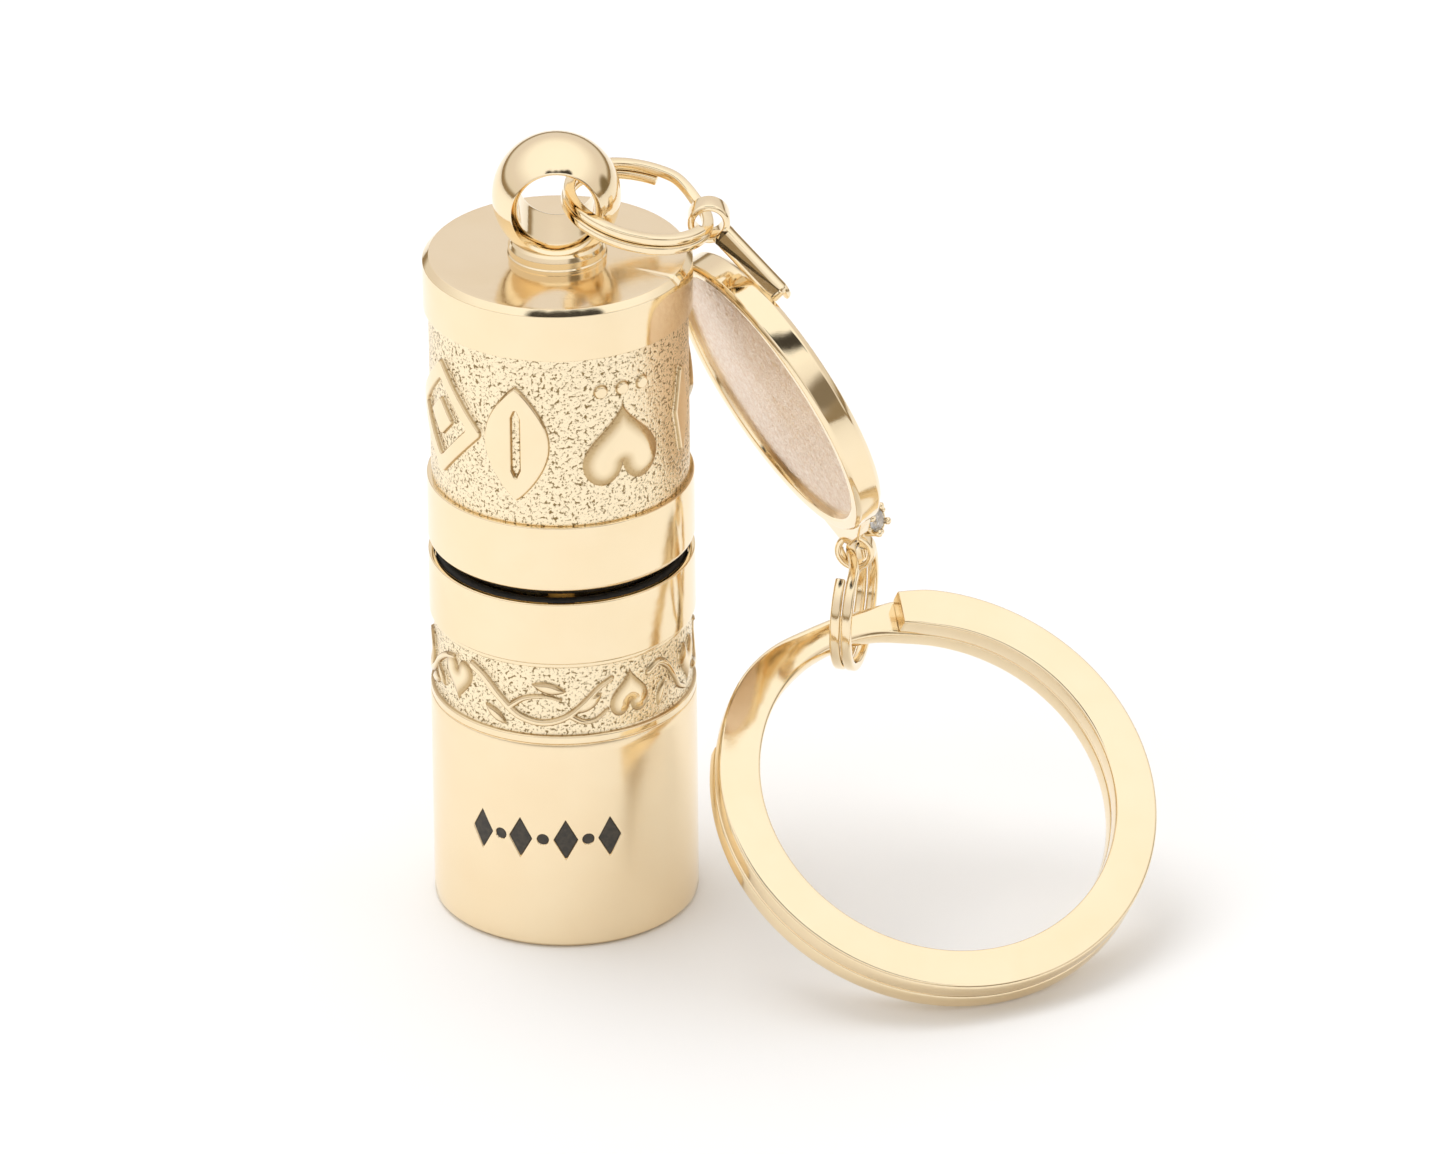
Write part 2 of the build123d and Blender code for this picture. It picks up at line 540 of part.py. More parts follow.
with BuildPart() as stone_setting:
    # arm on the medallion's back that carries the cup
    ARM_0 = MED_C + MED_X * 0.5 + MED_U * -9.9 + MED_N * -2.06
    ARM_1 = MED_C + MED_X * 0.73 + MED_U * -12.0 + MED_N * -1.95
    with BuildSketch(Plane(origin=ARM_0, x_dir=MED_X, z_dir=(ARM_1 - ARM_0).normalized())):
        Circle(0.38)
    extrude(amount=(ARM_1 - ARM_0).length)
    with BuildSketch(stone_plane(0, 0, -0.60)):
        Circle(0.70)
    with BuildSketch(stone_plane(0, 0, 0.45)):
        Circle(1.12)
    loft()
    with BuildSketch(stone_plane(0, 0, -0.20)):
        Circle(0.55)
    with BuildSketch(stone_plane(0, 0, 0.46)):
        Circle(0.94)
    loft(mode=Mode.SUBTRACT)
    for k in range(4):
        with BuildSketch(stone_plane(1.03 * cos(radians(45 + 90 * k)), 1.03 * sin(radians(45 + 90 * k)), 0.30)):
            Circle(0.18)
        extrude(amount=0.62)

with BuildPart() as stone:
    with BuildSketch(stone_plane(0, 0, -0.12)):
        RegularPolygon(0.20, 8)
    with BuildSketch(stone_plane(0, 0, 0.44)):
        RegularPolygon(0.82, 8)
    loft()
    with BuildSketch(stone_plane(0, 0, 0.44)):
        RegularPolygon(0.82, 8)
    with BuildSketch(stone_plane(0, 0, 0.74)):
        RegularPolygon(0.48, 8)
    loft()

# ------------------------------------------------------------------ link ring
B_RO, B_W, B_T, B_G = RING_B
B_DIRS = ring_dirs(RING_B_N)
with BuildPart() as link_ring:
    B_TOP, B_LOW = (B_T + B_G) / 2, -(B_T + B_G) / 2
    with BuildSketch(ring_section(RING_B_C, RING_B_N, B_DIRS, 118, B_TOP)):
        with Locations((B_RO - B_W / 2, 0)):
            RectangleRounded(B_W, B_T, 0.16)
    revolve(axis=Axis(RING_B_C, RING_B_N), revolution_arc=320)
    with BuildSketch(ring_section(RING_B_C, RING_B_N, B_DIRS, 131, B_LOW)):
        with Locations((B_RO - B_W / 2, 0)):
            RectangleRounded(B_W, B_T, 0.16)
    revolve(axis=Axis(RING_B_C, RING_B_N), revolution_arc=317)
    for phi, off in ((118, B_TOP), (109, B_TOP * 0.45), (97, -B_TOP * 0.45), (88, B_LOW)):
        with BuildSketch(ring_section(RING_B_C, RING_B_N, B_DIRS, phi, off)):
            with Locations((B_RO - B_W / 2, 0)):
                RectangleRounded(B_W, B_T, 0.16)
    loft(ruled=True)

# ------------------------------------------------------------------ key ring
K_RO, K_W, K_T, K_G = RING_K
K_DIRS = ring_dirs(RING_K_N)
K_MID = K_RO - K_W / 2
with BuildPart() as key_ring:
    K_FRONT, K_BACK = -K_T / 2, -1.5 * K_T - K_G
    with BuildSketch(ring_section(RING_K_C, RING_K_N, K_DIRS, 145, K_FRONT)):
        with Locations((K_MID, 0)):
            RectangleRounded(K_W, K_T, 0.30)
    revolve(axis=Axis(RING_K_C, RING_K_N), revolution_arc=294.5)
    with BuildSketch(ring_section(RING_K_C, RING_K_N, K_DIRS, 152, K_BACK)):
        with Locations((K_MID, 0)):
            RectangleRounded(K_W, K_T, 0.30)
    revolve(axis=Axis(RING_K_C, RING_K_N), revolution_arc=292)
    for phi, f, w in ((145, 0.0, K_W), (133, 0.22, K_W), (118, 0.62, 2.75), (104, 0.90, 2.70), (84, 1.0, K_W)):
        with BuildSketch(ring_section(RING_K_C, RING_K_N, K_DIRS, phi, K_FRONT + f * (K_BACK - K_FRONT))):
            with Locations((K_MID, 0)):
                RectangleRounded(w, K_T, 0.30)
    loft(ruled=True)

# ------------------------------------------------------------------ export
base_cup.part.label = "base_cup"
slotted_barrel.part.label = "slotted_barrel"
mid_collar.part.label = "mid_collar"
seal_o_ring.part.label = "seal_o_ring"
base_screw.part.label = "base_screw"
upper_peg.part.label = "upper_peg"
lower_detent_ball.part.label = "lower_detent_ball"
lower_detent_spring.part.label = "lower_detent_spring"
vine_dial.part.label = "vine_dial"
vine_gate_ring.part.label = "vine_gate_ring"
top_cap.part.label = "top_cap"
upper_barrel.part.label = "upper_barrel"
upper_collar.part.label = "upper_collar"
vault_stem.part.label = "vault_stem"
lower_peg.part.label = "lower_peg"
ball_eyelet.part.label = "ball_eyelet"
eyelet_nut.part.label = "eyelet_nut"
upper_detent_ball.part.label = "upper_detent_ball"
upper_detent_spring.part.label = "upper_detent_spring"
heart_dial.part.label = "heart_dial"
heart_gate_ring.part.label = "heart_gate_ring"
eyelet_ring.part.label = "eyelet_ring"
medallion_disc.part.label = "medallion_disc"
bail_strap.part.label = "bail_strap"
bail_rivet.part.label = "bail_rivet"
stone_setting.part.label = "stone_setting"
stone.part.label = "stone"
link_ring.part.label = "link_ring"
key_ring.part.label = "key_ring"

export_step(base_cup.part, "parts/base_cup.step")
export_step(slotted_barrel.part, "parts/slotted_barrel.step")
export_step(mid_collar.part, "parts/mid_collar.step")
export_step(seal_o_ring.part, "parts/seal_o_ring.step")
export_step(base_screw.part, "parts/base_screw.step")
export_step(upper_peg.part, "parts/upper_peg.step")
export_step(lower_detent_ball.part, "parts/lower_detent_ball.step")
export_step(lower_detent_spring.part, "parts/lower_detent_spring.step")
export_step(vine_dial.part, "parts/vine_dial.step")
export_step(vine_gate_ring.part, "parts/vine_gate_ring.step")
export_step(top_cap.part, "parts/top_cap.step")
export_step(upper_barrel.part, "parts/upper_barrel.step")
export_step(upper_collar.part, "parts/upper_collar.step")
export_step(vault_stem.part, "parts/vault_stem.step")
export_step(lower_peg.part, "parts/lower_peg.step")
export_step(ball_eyelet.part, "parts/ball_eyelet.step")
export_step(eyelet_nut.part, "parts/eyelet_nut.step")
export_step(upper_detent_ball.part, "parts/upper_detent_ball.step")
export_step(upper_detent_spring.part, "parts/upper_detent_spring.step")
export_step(heart_dial.part, "parts/heart_dial.step")
export_step(heart_gate_ring.part, "parts/heart_gate_ring.step")
export_step(eyelet_ring.part, "parts/eyelet_ring.step")
export_step(medallion_disc.part, "parts/medallion_disc.step")
export_step(bail_strap.part, "parts/bail_strap.step")
export_step(bail_rivet.part, "parts/bail_rivet.step")
export_step(stone_setting.part, "parts/stone_setting.step")
export_step(stone.part, "parts/stone.step")
export_step(link_ring.part, "parts/link_ring.step")
export_step(key_ring.part, "parts/key_ring.step")
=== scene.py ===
import json
import math

import bpy
import numpy as np
from mathutils import Matrix, Vector

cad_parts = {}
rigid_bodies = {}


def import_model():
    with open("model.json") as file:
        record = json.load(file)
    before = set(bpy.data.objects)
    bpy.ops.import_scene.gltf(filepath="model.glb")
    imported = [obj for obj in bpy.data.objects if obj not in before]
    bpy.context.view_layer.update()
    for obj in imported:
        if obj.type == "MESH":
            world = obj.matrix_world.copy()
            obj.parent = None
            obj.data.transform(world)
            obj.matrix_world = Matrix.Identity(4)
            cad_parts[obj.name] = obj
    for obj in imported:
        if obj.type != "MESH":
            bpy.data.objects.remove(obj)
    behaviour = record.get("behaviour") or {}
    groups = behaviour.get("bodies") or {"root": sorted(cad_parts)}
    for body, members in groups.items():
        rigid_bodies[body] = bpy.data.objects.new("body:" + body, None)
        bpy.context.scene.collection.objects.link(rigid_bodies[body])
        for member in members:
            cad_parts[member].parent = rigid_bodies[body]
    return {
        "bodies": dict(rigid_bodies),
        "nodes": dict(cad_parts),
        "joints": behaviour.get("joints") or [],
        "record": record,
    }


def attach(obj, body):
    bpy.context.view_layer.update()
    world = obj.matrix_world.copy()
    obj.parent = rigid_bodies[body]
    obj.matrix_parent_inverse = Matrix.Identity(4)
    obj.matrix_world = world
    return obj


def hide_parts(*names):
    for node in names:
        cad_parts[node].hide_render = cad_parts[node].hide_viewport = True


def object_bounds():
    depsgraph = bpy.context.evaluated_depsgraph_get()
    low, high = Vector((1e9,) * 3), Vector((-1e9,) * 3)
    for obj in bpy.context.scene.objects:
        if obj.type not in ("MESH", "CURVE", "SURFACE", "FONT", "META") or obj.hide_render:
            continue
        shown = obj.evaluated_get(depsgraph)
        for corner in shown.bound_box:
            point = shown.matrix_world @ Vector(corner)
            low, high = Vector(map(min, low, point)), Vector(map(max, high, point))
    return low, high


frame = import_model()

CAD_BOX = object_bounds()
MM = 0.001
TAU = 2 * math.pi


# ------------------------------------------------------------------ the model's own sizes (mm)
def unit(v):
    v = np.asarray(v, float)
    return v / np.linalg.norm(v)


R_BODY, R_GROUND, R_CAP = 9.0, 8.72, 9.05
BALL_Z, BALL_R, HOLE_R, MOUTH_R = 52.35, 4.31, 2.60, 3.00
MED_C = np.array([14.226, 1.177, 36.707])
MED_N = unit([-0.814, -0.446, -0.372])
MED_U = np.array([-0.3588, -0.1173, 0.9267])
MED_U = unit(MED_U - MED_N * MED_U.dot(MED_N))
MED_X = unit(np.cross(MED_U, MED_N))
A_C, A_N = np.array([5.45, 0.0, 51.45]), unit([0.217, -0.066, 0.974])
B_C, B_N = np.array([19.71, 3.18, 19.69]), unit([0.972, -0.231, -0.029])
K_C, K_N = np.array([25.27, -7.31, 11.26]), unit([0.2418, -0.5296, 0.8131])
BAIL_P = np.array([10.13, 0.0, 50.41])
LUG_P = np.array([19.83, 3.13, 23.89])


# ------------------------------------------------------------------ materials
def new_mat(name):
    m = bpy.data.materials.new(name)
    m.use_nodes = True
    nt = m.node_tree
    nt.nodes.clear()
    out = nt.nodes.new("ShaderNodeOutputMaterial")
    bsdf = nt.nodes.new("ShaderNodeBsdfPrincipled")
    nt.links.new(bsdf.outputs["BSDF"], out.inputs["Surface"])
    return m, nt, bsdf


def noise(nt, scale, detail=3.0, rough=0.5, vec=None):
    n = nt.nodes.new("ShaderNodeTexNoise")
    n.inputs["Scale"].default_value = scale
    n.inputs["Detail"].default_value = detail
    n.inputs["Roughness"].default_value = rough
    nt.links.new(vec, n.inputs["Vector"])
    return n.outputs["Fac"]


def ramp(nt, fac, stops):
    r = nt.nodes.new("ShaderNodeValToRGB")
    els = r.color_ramp.elements
    while len(els) < len(stops):
        els.new(0.5)
    for e, (p, c) in zip(els, stops):
        e.position = p
        e.color = (c[0], c[1], c[2], 1.0) if hasattr(c, "__len__") else (c, c, c, 1.0)
    nt.links.new(fac, r.inputs["Fac"])
    return r.outputs["Color"]


def mix_rgb(nt, fac, a, b):
    m = nt.nodes.new("ShaderNodeMix")
    m.data_type = "RGBA"
    nt.links.new(fac, m.inputs["Factor"])
    for sock, v in ((m.inputs["A"], a), (m.inputs["B"], b)):
        if hasattr(v, "is_linked"):
            nt.links.new(v, sock)
        else:
            sock.default_value = (v[0], v[1], v[2], 1.0)
    return m.outputs["Result"]


def math_node(nt, op, a, b=None, c=None):
    m = nt.nodes.new("ShaderNodeMath")
    m.operation = op
    for i, v in enumerate((a, b, c)):
        if v is None:
            continue
        if hasattr(v, "is_linked"):
            nt.links.new(v, m.inputs[i])
        else:
            m.inputs[i].default_value = v
    return m.outputs["Value"]


def bump(nt, bsdf, height, strength, distance, chain=None):
    b = nt.nodes.new("ShaderNodeBump")
    b.inputs["Strength"].default_value = strength
    b.inputs["Distance"].default_value = distance
    nt.links.new(height, b.inputs["Height"])
    if chain is not None:
        nt.links.new(chain, b.inputs["Normal"])
    nt.links.new(b.outputs["Normal"], bsdf.inputs["Normal"])
    return b.outputs["Normal"]


def object_vec(nt):
    return nt.nodes.new("ShaderNodeTexCoord").outputs["Object"]


def gold(name, light, dark, r_lo, r_hi, wave=0.05, grain=0.03, grain_scale=2600.0):
    """Plated metal: a slow tint change, uneven polish, faint waviness and fine scratches."""
    m, nt, bsdf = new_mat(name)
    vec = object_vec(nt)
    slow = noise(nt, 170.0, 3.0, 0.55, vec)
    fine = noise(nt, 1500.0, 5.0, 0.6, vec)
    bsdf.inputs["Metallic"].default_value = 1.0
    nt.links.new(mix_rgb(nt, ramp(nt, slow, [(0.35, 0.0), (0.68, 1.0)]), light, dark), bsdf.inputs["Base Color"])
    lo = ramp(nt, fine, [(0.30, r_lo), (0.75, r_hi)])
    nt.links.new(lo, bsdf.inputs["Roughness"])
    stretch = nt.nodes.new("ShaderNodeMapping")
    stretch.inputs["Scale"].default_value = (1.0, 1.0, 14.0)
    nt.links.new(vec, stretch.inputs["Vector"])
    hair = noise(nt, grain_scale, 4.0, 0.7, stretch.outputs["Vector"])
    n1 = bump(nt, bsdf, slow, wave, 0.0008)
    bump(nt, bsdf, hair, grain, 0.00004, n1)
    return m


GOLD_L, GOLD_D = (0.945, 0.795, 0.550), (0.925, 0.765, 0.510)
M_GOLD = gold("polished_gold", GOLD_L, GOLD_D, 0.045, 0.11)
M_CUP = gold("satin_cup_gold", (0.945, 0.79, 0.545), (0.925, 0.755, 0.505), 0.12, 0.20, 0.03, 0.05)
M_CAP = gold("spun_cap_gold", (0.93, 0.785, 0.56), (0.91, 0.755, 0.52), 0.10, 0.17, 0.03, 0.06)
M_RING = gold("ring_gold", (0.95, 0.80, 0.555), (0.93, 0.77, 0.515), 0.06, 0.13, 0.08, 0.05, 1900.0)
M_BRASS = gold("turned_brass", (0.74, 0.56, 0.27), (0.68, 0.50, 0.22), 0.22, 0.36, 0.03, 0.12, 900.0)
M_STEEL = gold("bright_steel", (0.62, 0.62, 0.63), (0.55, 0.55, 0.57), 0.14, 0.24, 0.03, 0.05)


def relief_mat(name, top_l, top_d, low_l, low_d):
    """Polished relief over a sunk, pebbled ground; the mesh carries the height as an attribute."""
    m, nt, bsdf = new_mat(name)
    vec = object_vec(nt)
    at = nt.nodes.new("ShaderNodeAttribute")
    at.attribute_name = "relief"
    h = ramp(nt, at.outputs["Fac"], [(0.25, 0.0), (0.85, 1.0)])
    slow = ramp(nt, noise(nt, 240.0, 3.0, 0.55, vec), [(0.35, 0.0), (0.68, 1.0)])
    pit = nt.nodes.new("ShaderNodeAttribute")
    pit.attribute_name = "pit"
    fleck = ramp(nt, noise(nt, 5200.0, 2.0, 0.6, vec), [(0.33, 0.0), (0.42, 1.0)])
    crack = ramp(nt, pit.outputs["Fac"], [(0.25, 1.0), (0.80, 0.0)])
    low = mix_rgb(nt, math_node(nt, "MULTIPLY", fleck, crack), low_d, low_l)
    top = mix_rgb(nt, slow, top_l, top_d)
    bsdf.inputs["Metallic"].default_value = 1.0
    # painted shade: a brown band mixed into the base colour on the sloped shoulders of every raised shape, standing
    # in for the dark reflection on those slopes
    painted_shoulder_shade = ramp(nt, at.outputs["Fac"], [(0.04, 0.0), (0.30, 0.85), (0.62, 0.75), (0.94, 0.0)])
    nt.links.new(mix_rgb(nt, painted_shoulder_shade, mix_rgb(nt, h, low, top), (0.46, 0.30, 0.12)), bsdf.inputs["Base Color"])
    grain = noise(nt, 5200.0, 5.0, 0.7, vec)
    inv = math_node(nt, "SUBTRACT", 1.0, h)
    rough = math_node(nt, "MULTIPLY_ADD", inv, 0.14, 0.085)
    nt.links.new(math_node(nt, "MULTIPLY_ADD", grain, 0.05, rough), bsdf.inputs["Roughness"])
    n1 = bump(nt, bsdf, math_node(nt, "MULTIPLY", grain, inv), 0.55, 0.00005)
    bump(nt, bsdf, slow, 0.05, 0.0004, n1)
    return m


M_RELIEF = relief_mat("relief_gold", GOLD_L, GOLD_D, (0.985, 0.845, 0.600), (0.26, 0.18, 0.075))


def recess_mat():
    """Sandblasted rose face of the medallion."""
    m, nt, bsdf = new_mat("sandblasted_rose_gold")
    vec = object_vec(nt)
    spots = ramp(nt, noise(nt, 3000.0, 5.0, 0.7, vec), [(0.36, 0.0), (0.66, 1.0)])
    bsdf.inputs["Metallic"].default_value = 1.0
    nt.links.new(mix_rgb(nt, spots, (0.86, 0.69, 0.56), (1.0, 0.90, 0.80)), bsdf.inputs["Base Color"])
    nt.links.new(ramp(nt, noise(nt, 2000.0, 3.0, 0.6, vec), [(0.3, 0.30), (0.7, 0.42)]), bsdf.inputs["Roughness"])
    bump(nt, bsdf, noise(nt, 4200.0, 5.0, 0.75, vec), 0.65, 0.00006)
    return m


M_RECESS = recess_mat()


def enamel_mat():
    m, nt, bsdf = new_mat("dark_fill")
    vec = object_vec(nt)
    spots = ramp(nt, noise(nt, 2600.0, 4.0, 0.6, vec), [(0.35, 0.0), (0.7, 1.0)])
    nt.links.new(mix_rgb(nt, spots, (0.030, 0.026, 0.020), (0.075, 0.062, 0.045)), bsdf.inputs["Base Color"])
    nt.links.new(ramp(nt, spots, [(0.0, 0.42), (1.0, 0.60)]), bsdf.inputs["Roughness"])
    bump(nt, bsdf, spots, 0.3, 0.00003)
    return m


M_FILL = enamel_mat()


def rubber_mat():
    m, nt, bsdf = new_mat("black_nitrile")
    vec = object_vec(nt)
    spots = ramp(nt, noise(nt, 4000.0, 3.0, 0.6, vec), [(0.35, 0.0), (0.7, 1.0)])
    nt.links.new(mix_rgb(nt, spots, (0.008, 0.008, 0.008), (0.020, 0.019, 0.018)), bsdf.inputs["Base Color"])
    nt.links.new(ramp(nt, spots, [(0.0, 0.55), (1.0, 0.75)]), bsdf.inputs["Roughness"])
    bump(nt, bsdf, spots, 0.3, 0.00002)
    return m


M_RUBBER = rubber_mat()


def crystal_mat():
    m, nt, bsdf = new_mat("clear_crystal")
    vec = object_vec(nt)
    bsdf.inputs["Transmission Weight"].default_value = 0.75
    bsdf.inputs["IOR"].default_value = 2.1
    cloud = ramp(nt, noise(nt, 900.0, 2.0, 0.5, vec), [(0.4, 0.0), (0.7, 1.0)])
    nt.links.new(mix_rgb(nt, cloud, (0.98, 0.96, 0.93), (0.90, 0.86, 0.80)), bsdf.inputs["Base Color"])
    nt.links.new(ramp(nt, cloud, [(0.0, 0.02), (1.0, 0.05)]), bsdf.inputs["Roughness"])
    return m


M_CRYSTAL = crystal_mat()


# ------------------------------------------------------------------ mesh helpers
def make(name, verts, faces, mat, body, replaces=(), sharp=None, attrs=None, weighted=False):
    me = bpy.data.meshes.new(name)
    me.from_pydata((np.asarray(verts, float) * MM).tolist(), [], [tuple(int(i) for i in f) for f in faces])
    me.validate()
    me.update()
    me.polygons.foreach_set("use_smooth", np.ones(len(me.polygons), bool))
    if sharp is not None:
        me.set_sharp_from_angle(angle=math.radians(sharp))
    for key, vals in (attrs or {}).items():
        a = me.attributes.new(key, "FLOAT", "POINT")
        a.data.foreach_set("value", np.asarray(vals, np.float32))
    me.materials.append(mat)
    ob = bpy.data.objects.new(name, me)
    bpy.context.scene.collection.objects.link(ob)
    if weighted:
        w = ob.modifiers.new("weighted", "WEIGHTED_NORMAL")
        w.keep_sharp = True
        w.weight = 80
    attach(ob, body)
    if replaces:
        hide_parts(*replaces)
    return ob


def fillet(points, n=5):
    """Rounds the corners of a closed outline. points: (x, y, radius)."""
    out = []
    k = len(points)
    for i in range(k):
        p = np.array(points[i][:2], float)
        r = points[i][2] if len(points[i]) > 2 else 0.0
        a = np.array(points[i - 1][:2], float)
        b = np.array(points[(i + 1) % k][:2], float)
        if r <= 0:
            out.append(p)
            continue
        u, v = unit(a - p), unit(b - p)
        ang = math.acos(max(-1, min(1, float(u @ v))))
        d = min(r / math.tan(ang / 2), 0.49 * np.linalg.norm(a - p), 0.49 * np.linalg.norm(b - p))
        rr = d * math.tan(ang / 2)
        c = p + unit(u + v) * rr / math.sin(ang / 2)
        s, e = p + u * d, p + v * d
        a0 = math.atan2(*(s - c)[::-1])
        a1 = math.atan2(*(e - c)[::-1])
        da = (a1 - a0 + math.pi) % TAU - math.pi
        for t in range(n + 1):
            q = a0 + da * t / n
            out.append(c + rr * np.array([math.cos(q), math.sin(q)]))
    return np.array(out)


def lathe(profile, segs=288, closed=True, origin=(0, 0, 0), axis=(0, 0, 1), ref=None):
    """Turns an outline of (radius, height) about an axis. An open outline starts and ends on the axis."""
    profile = np.asarray(profile, float)
    ax = unit(axis)
    if ref is None:
        ref = np.array([1.0, 0, 0]) if abs(ax[0]) < 0.9 else np.array([0, 1.0, 0])
    e1 = unit(np.asarray(ref, float) - ax * np.dot(ref, ax))
    e2 = np.cross(ax, e1)
    o = np.asarray(origin, float)
    ang = np.arange(segs) * TAU / segs
    rad = np.cos(ang)[:, None] * e1 + np.sin(ang)[:, None] * e2
    verts, idx = [], []
    count = 0
    for r, h in profile:
        if r < 1e-7:
            verts.append((o + ax * h)[None, :])
            idx.append(np.full(segs, count))
            count += 1
        else:
            verts.append(o + rad * r + ax * h)
            idx.append(np.arange(count, count + segs))
            count += segs
    verts = np.concatenate(verts)
    faces = []
    k = len(profile)
    rows = range(k) if closed else range(k - 1)
    for i in rows:
        a, b = idx[i], idx[(i + 1) % k]
        a2, b2 = np.roll(a, -1), np.roll(b, -1)
        for q in zip(a, a2, b2, b):
            f = list(dict.fromkeys(q))
            if len(f) > 2:
                faces.append(f)
    return verts, faces


def lathe_flip(profile):
    """Signed area of the outline, so that every turned piece faces outwards."""
    p = np.asarray(profile, float)
    x, y = p[:, 0], p[:, 1]
    return 0.5 * np.sum(x * np.roll(y, -1) - np.roll(x, -1) * y)


def turned(name, profile, mat, body, slot, replaces=(), closed=True, segs=288, **kw):
    area = lathe_flip(profile)
    if area < 0:
        profile = np.asarray(profile)[::-1]
    v, f = lathe(profile, segs, closed, **{k: kw[k] for k in ("origin", "axis", "ref") if k in kw})
    return make(name, v, f, mat, body, replaces, sharp=kw.get("sharp", 50), weighted=kw.get("weighted", True))


def section(w, t, rad, n=4):
    return fillet([(-w / 2, -t / 2, rad), (w / 2, -t / 2, rad), (w / 2, t / 2, rad), (-w / 2, t / 2, rad)], n)


def coil(name, centre, normal, mid_r, stops, mat, body, replaces=(), step=1.0, ref=(0, 0, 1), corner=0.25, ease=4.0):
    """A flat wire led round a ring. stops: (angle, axial, width, thickness, radial shift)."""
    n = unit(normal)
    a = unit(np.cross(ref, n))
    b = np.cross(n, a)
    rows, angs = [], []
    for (p0, *s0), (p1, *s1) in zip(stops[:-1], stops[1:]):
        k = max(1, int(abs(p1 - p0) / step))
        for i in range(k):
            t = i / k
            angs.append(p0 + (p1 - p0) * t)
            rows.append([x + (y - x) * t for x, y in zip(s0, s1)])
    angs.append(stops[-1][0])
    rows.append(list(stops[-1][1:]))
    # ease the changes of level and width along the wire
    R = np.array(rows, float)
    k = max(1, int(round(ease / step)))
    pad = np.concatenate([np.repeat(R[:1], k, 0), R, np.repeat(R[-1:], k, 0)])
    for _ in range(2):
        R = np.array([pad[i:i + 2 * k + 1].mean(0) for i in range(len(R))])
        pad = np.concatenate([np.repeat(R[:1], k, 0), R, np.repeat(R[-1:], k, 0)])
    rows = R.tolist()
    verts = []
    per = None
    # pull the two cut ends in a little so that their edges are eased
    for i, (phi, (ax, w, t, dr, *c)) in enumerate(zip(angs, rows)):
        r = a * math.cos(math.radians(phi)) + b * math.sin(math.radians(phi))
        sec = section(w, t, c[0] if c else corner)
        per = len(sec)
        verts.append(centre + np.outer(mid_r + dr + sec[:, 0], r) + np.outer(ax + sec[:, 1], n))
    ends = []
    for i, sgn in ((0, -1), (len(angs) - 1, 1)):
        phi, (ax, w, t, dr) = angs[i], rows[i][:4]
        r = a * math.cos(math.radians(phi)) + b * math.sin(math.radians(phi))
        tan = -a * math.sin(math.radians(phi)) + b * math.cos(math.radians(phi))
        direction = tan * (1 if angs[-1] > angs[0] else -1) * sgn
        sec = section(w - 0.09, t - 0.09, max(corner - 0.045, 0.02))
        ends.append(centre + np.outer(mid_r + dr + sec[:, 0], r) + np.outer(ax + sec[:, 1], n) + direction * 0.045)
    verts = [ends[0]] + verts + [ends[1]]
    k = len(verts)
    V = np.concatenate(verts)
    faces = []
    for i in range(k - 1):
        for j in range(per):
            j2 = (j + 1) % per
            faces.append((i * per + j, i * per + j2, (i + 1) * per + j2, (i + 1) * per + j))
    faces.append(list(range(per))[::-1])
    faces.append(list(range((k - 1) * per, k * per)))
    # outward faces
    if angs[-1] > angs[0]:
        faces = [f[::-1] for f in faces]
    return make(name, V, faces, mat, body, replaces, sharp=40, weighted=True)


# ------------------------------------------------------------------ height fields on the dials
def seeded(i, j, k):
    """A repeatable number in 0..1 for each cell."""
    x = np.sin(i * 127.1 + j * 311.7 + k * 74.7) * 43758.5453
    return x - np.floor(x)


def pebbles(x, y, cell, wrap):
    """Rounded grains on a jittered grid; x repeats after wrap cells."""
    u, v = x / cell, y / cell
    iu, iv = np.floor(u), np.floor(v)
    best = np.full(x.shape, 9.0)
    second = np.full(x.shape, 9.0)
    for di in (-1, 0, 1):
        for dj in (-1, 0, 1):
            ci, cj = iu + di, iv + dj
            wi = np.mod(ci, wrap)
            px = ci + 0.15 + 0.7 * seeded(wi, cj, 1)
            py = cj + 0.15 + 0.7 * seeded(wi, cj, 2)
            d = np.hypot(u - px, v - py)
            second = np.minimum(second, np.maximum(best, d))
            best = np.minimum(best, d)
    return np.clip((second - best) * 1.6, 0, 1) ** 0.7


def value_noise(x, y, cell, wrap, k=5):
    u, v = x / cell, y / cell
    iu, iv = np.floor(u), np.floor(v)
    fu, fv = u - iu, v - iv
    fu, fv = fu * fu * (3 - 2 * fu), fv * fv * (3 - 2 * fv)
    g = lambda a, b: seeded(np.mod(a, wrap), b, k)
    return (g(iu, iv) * (1 - fu) + g(iu + 1, iv) * fu) * (1 - fv) + (g(iu, iv + 1) * (1 - fu) + g(iu + 1, iv + 1) * fu) * fv


def sdf_poly(x, y, poly):
    """Signed distance to a polygon, negative inside."""
    d = np.full(x.shape, 1e9)
    inside = np.zeros(x.shape, bool)
    k = len(poly)
    for i in range(k):
        ax, ay = poly[i]
        bx, by = poly[(i + 1) % k]
        ex, ey = bx - ax, by - ay
        wx, wy = x - ax, y - ay
        t = np.clip((wx * ex + wy * ey) / max(ex * ex + ey * ey, 1e-12), 0, 1)
        d = np.minimum(d, (wx - ex * t) ** 2 + (wy - ey * t) ** 2)
        c1 = (ay <= y) & (by > y)
        c2 = (ay > y) & (by <= y)
        cross = ex * wy - ey * wx
        inside ^= (c1 & (cross > 0)) | (c2 & (cross < 0))
    return np.where(inside, -np.sqrt(d), np.sqrt(d))


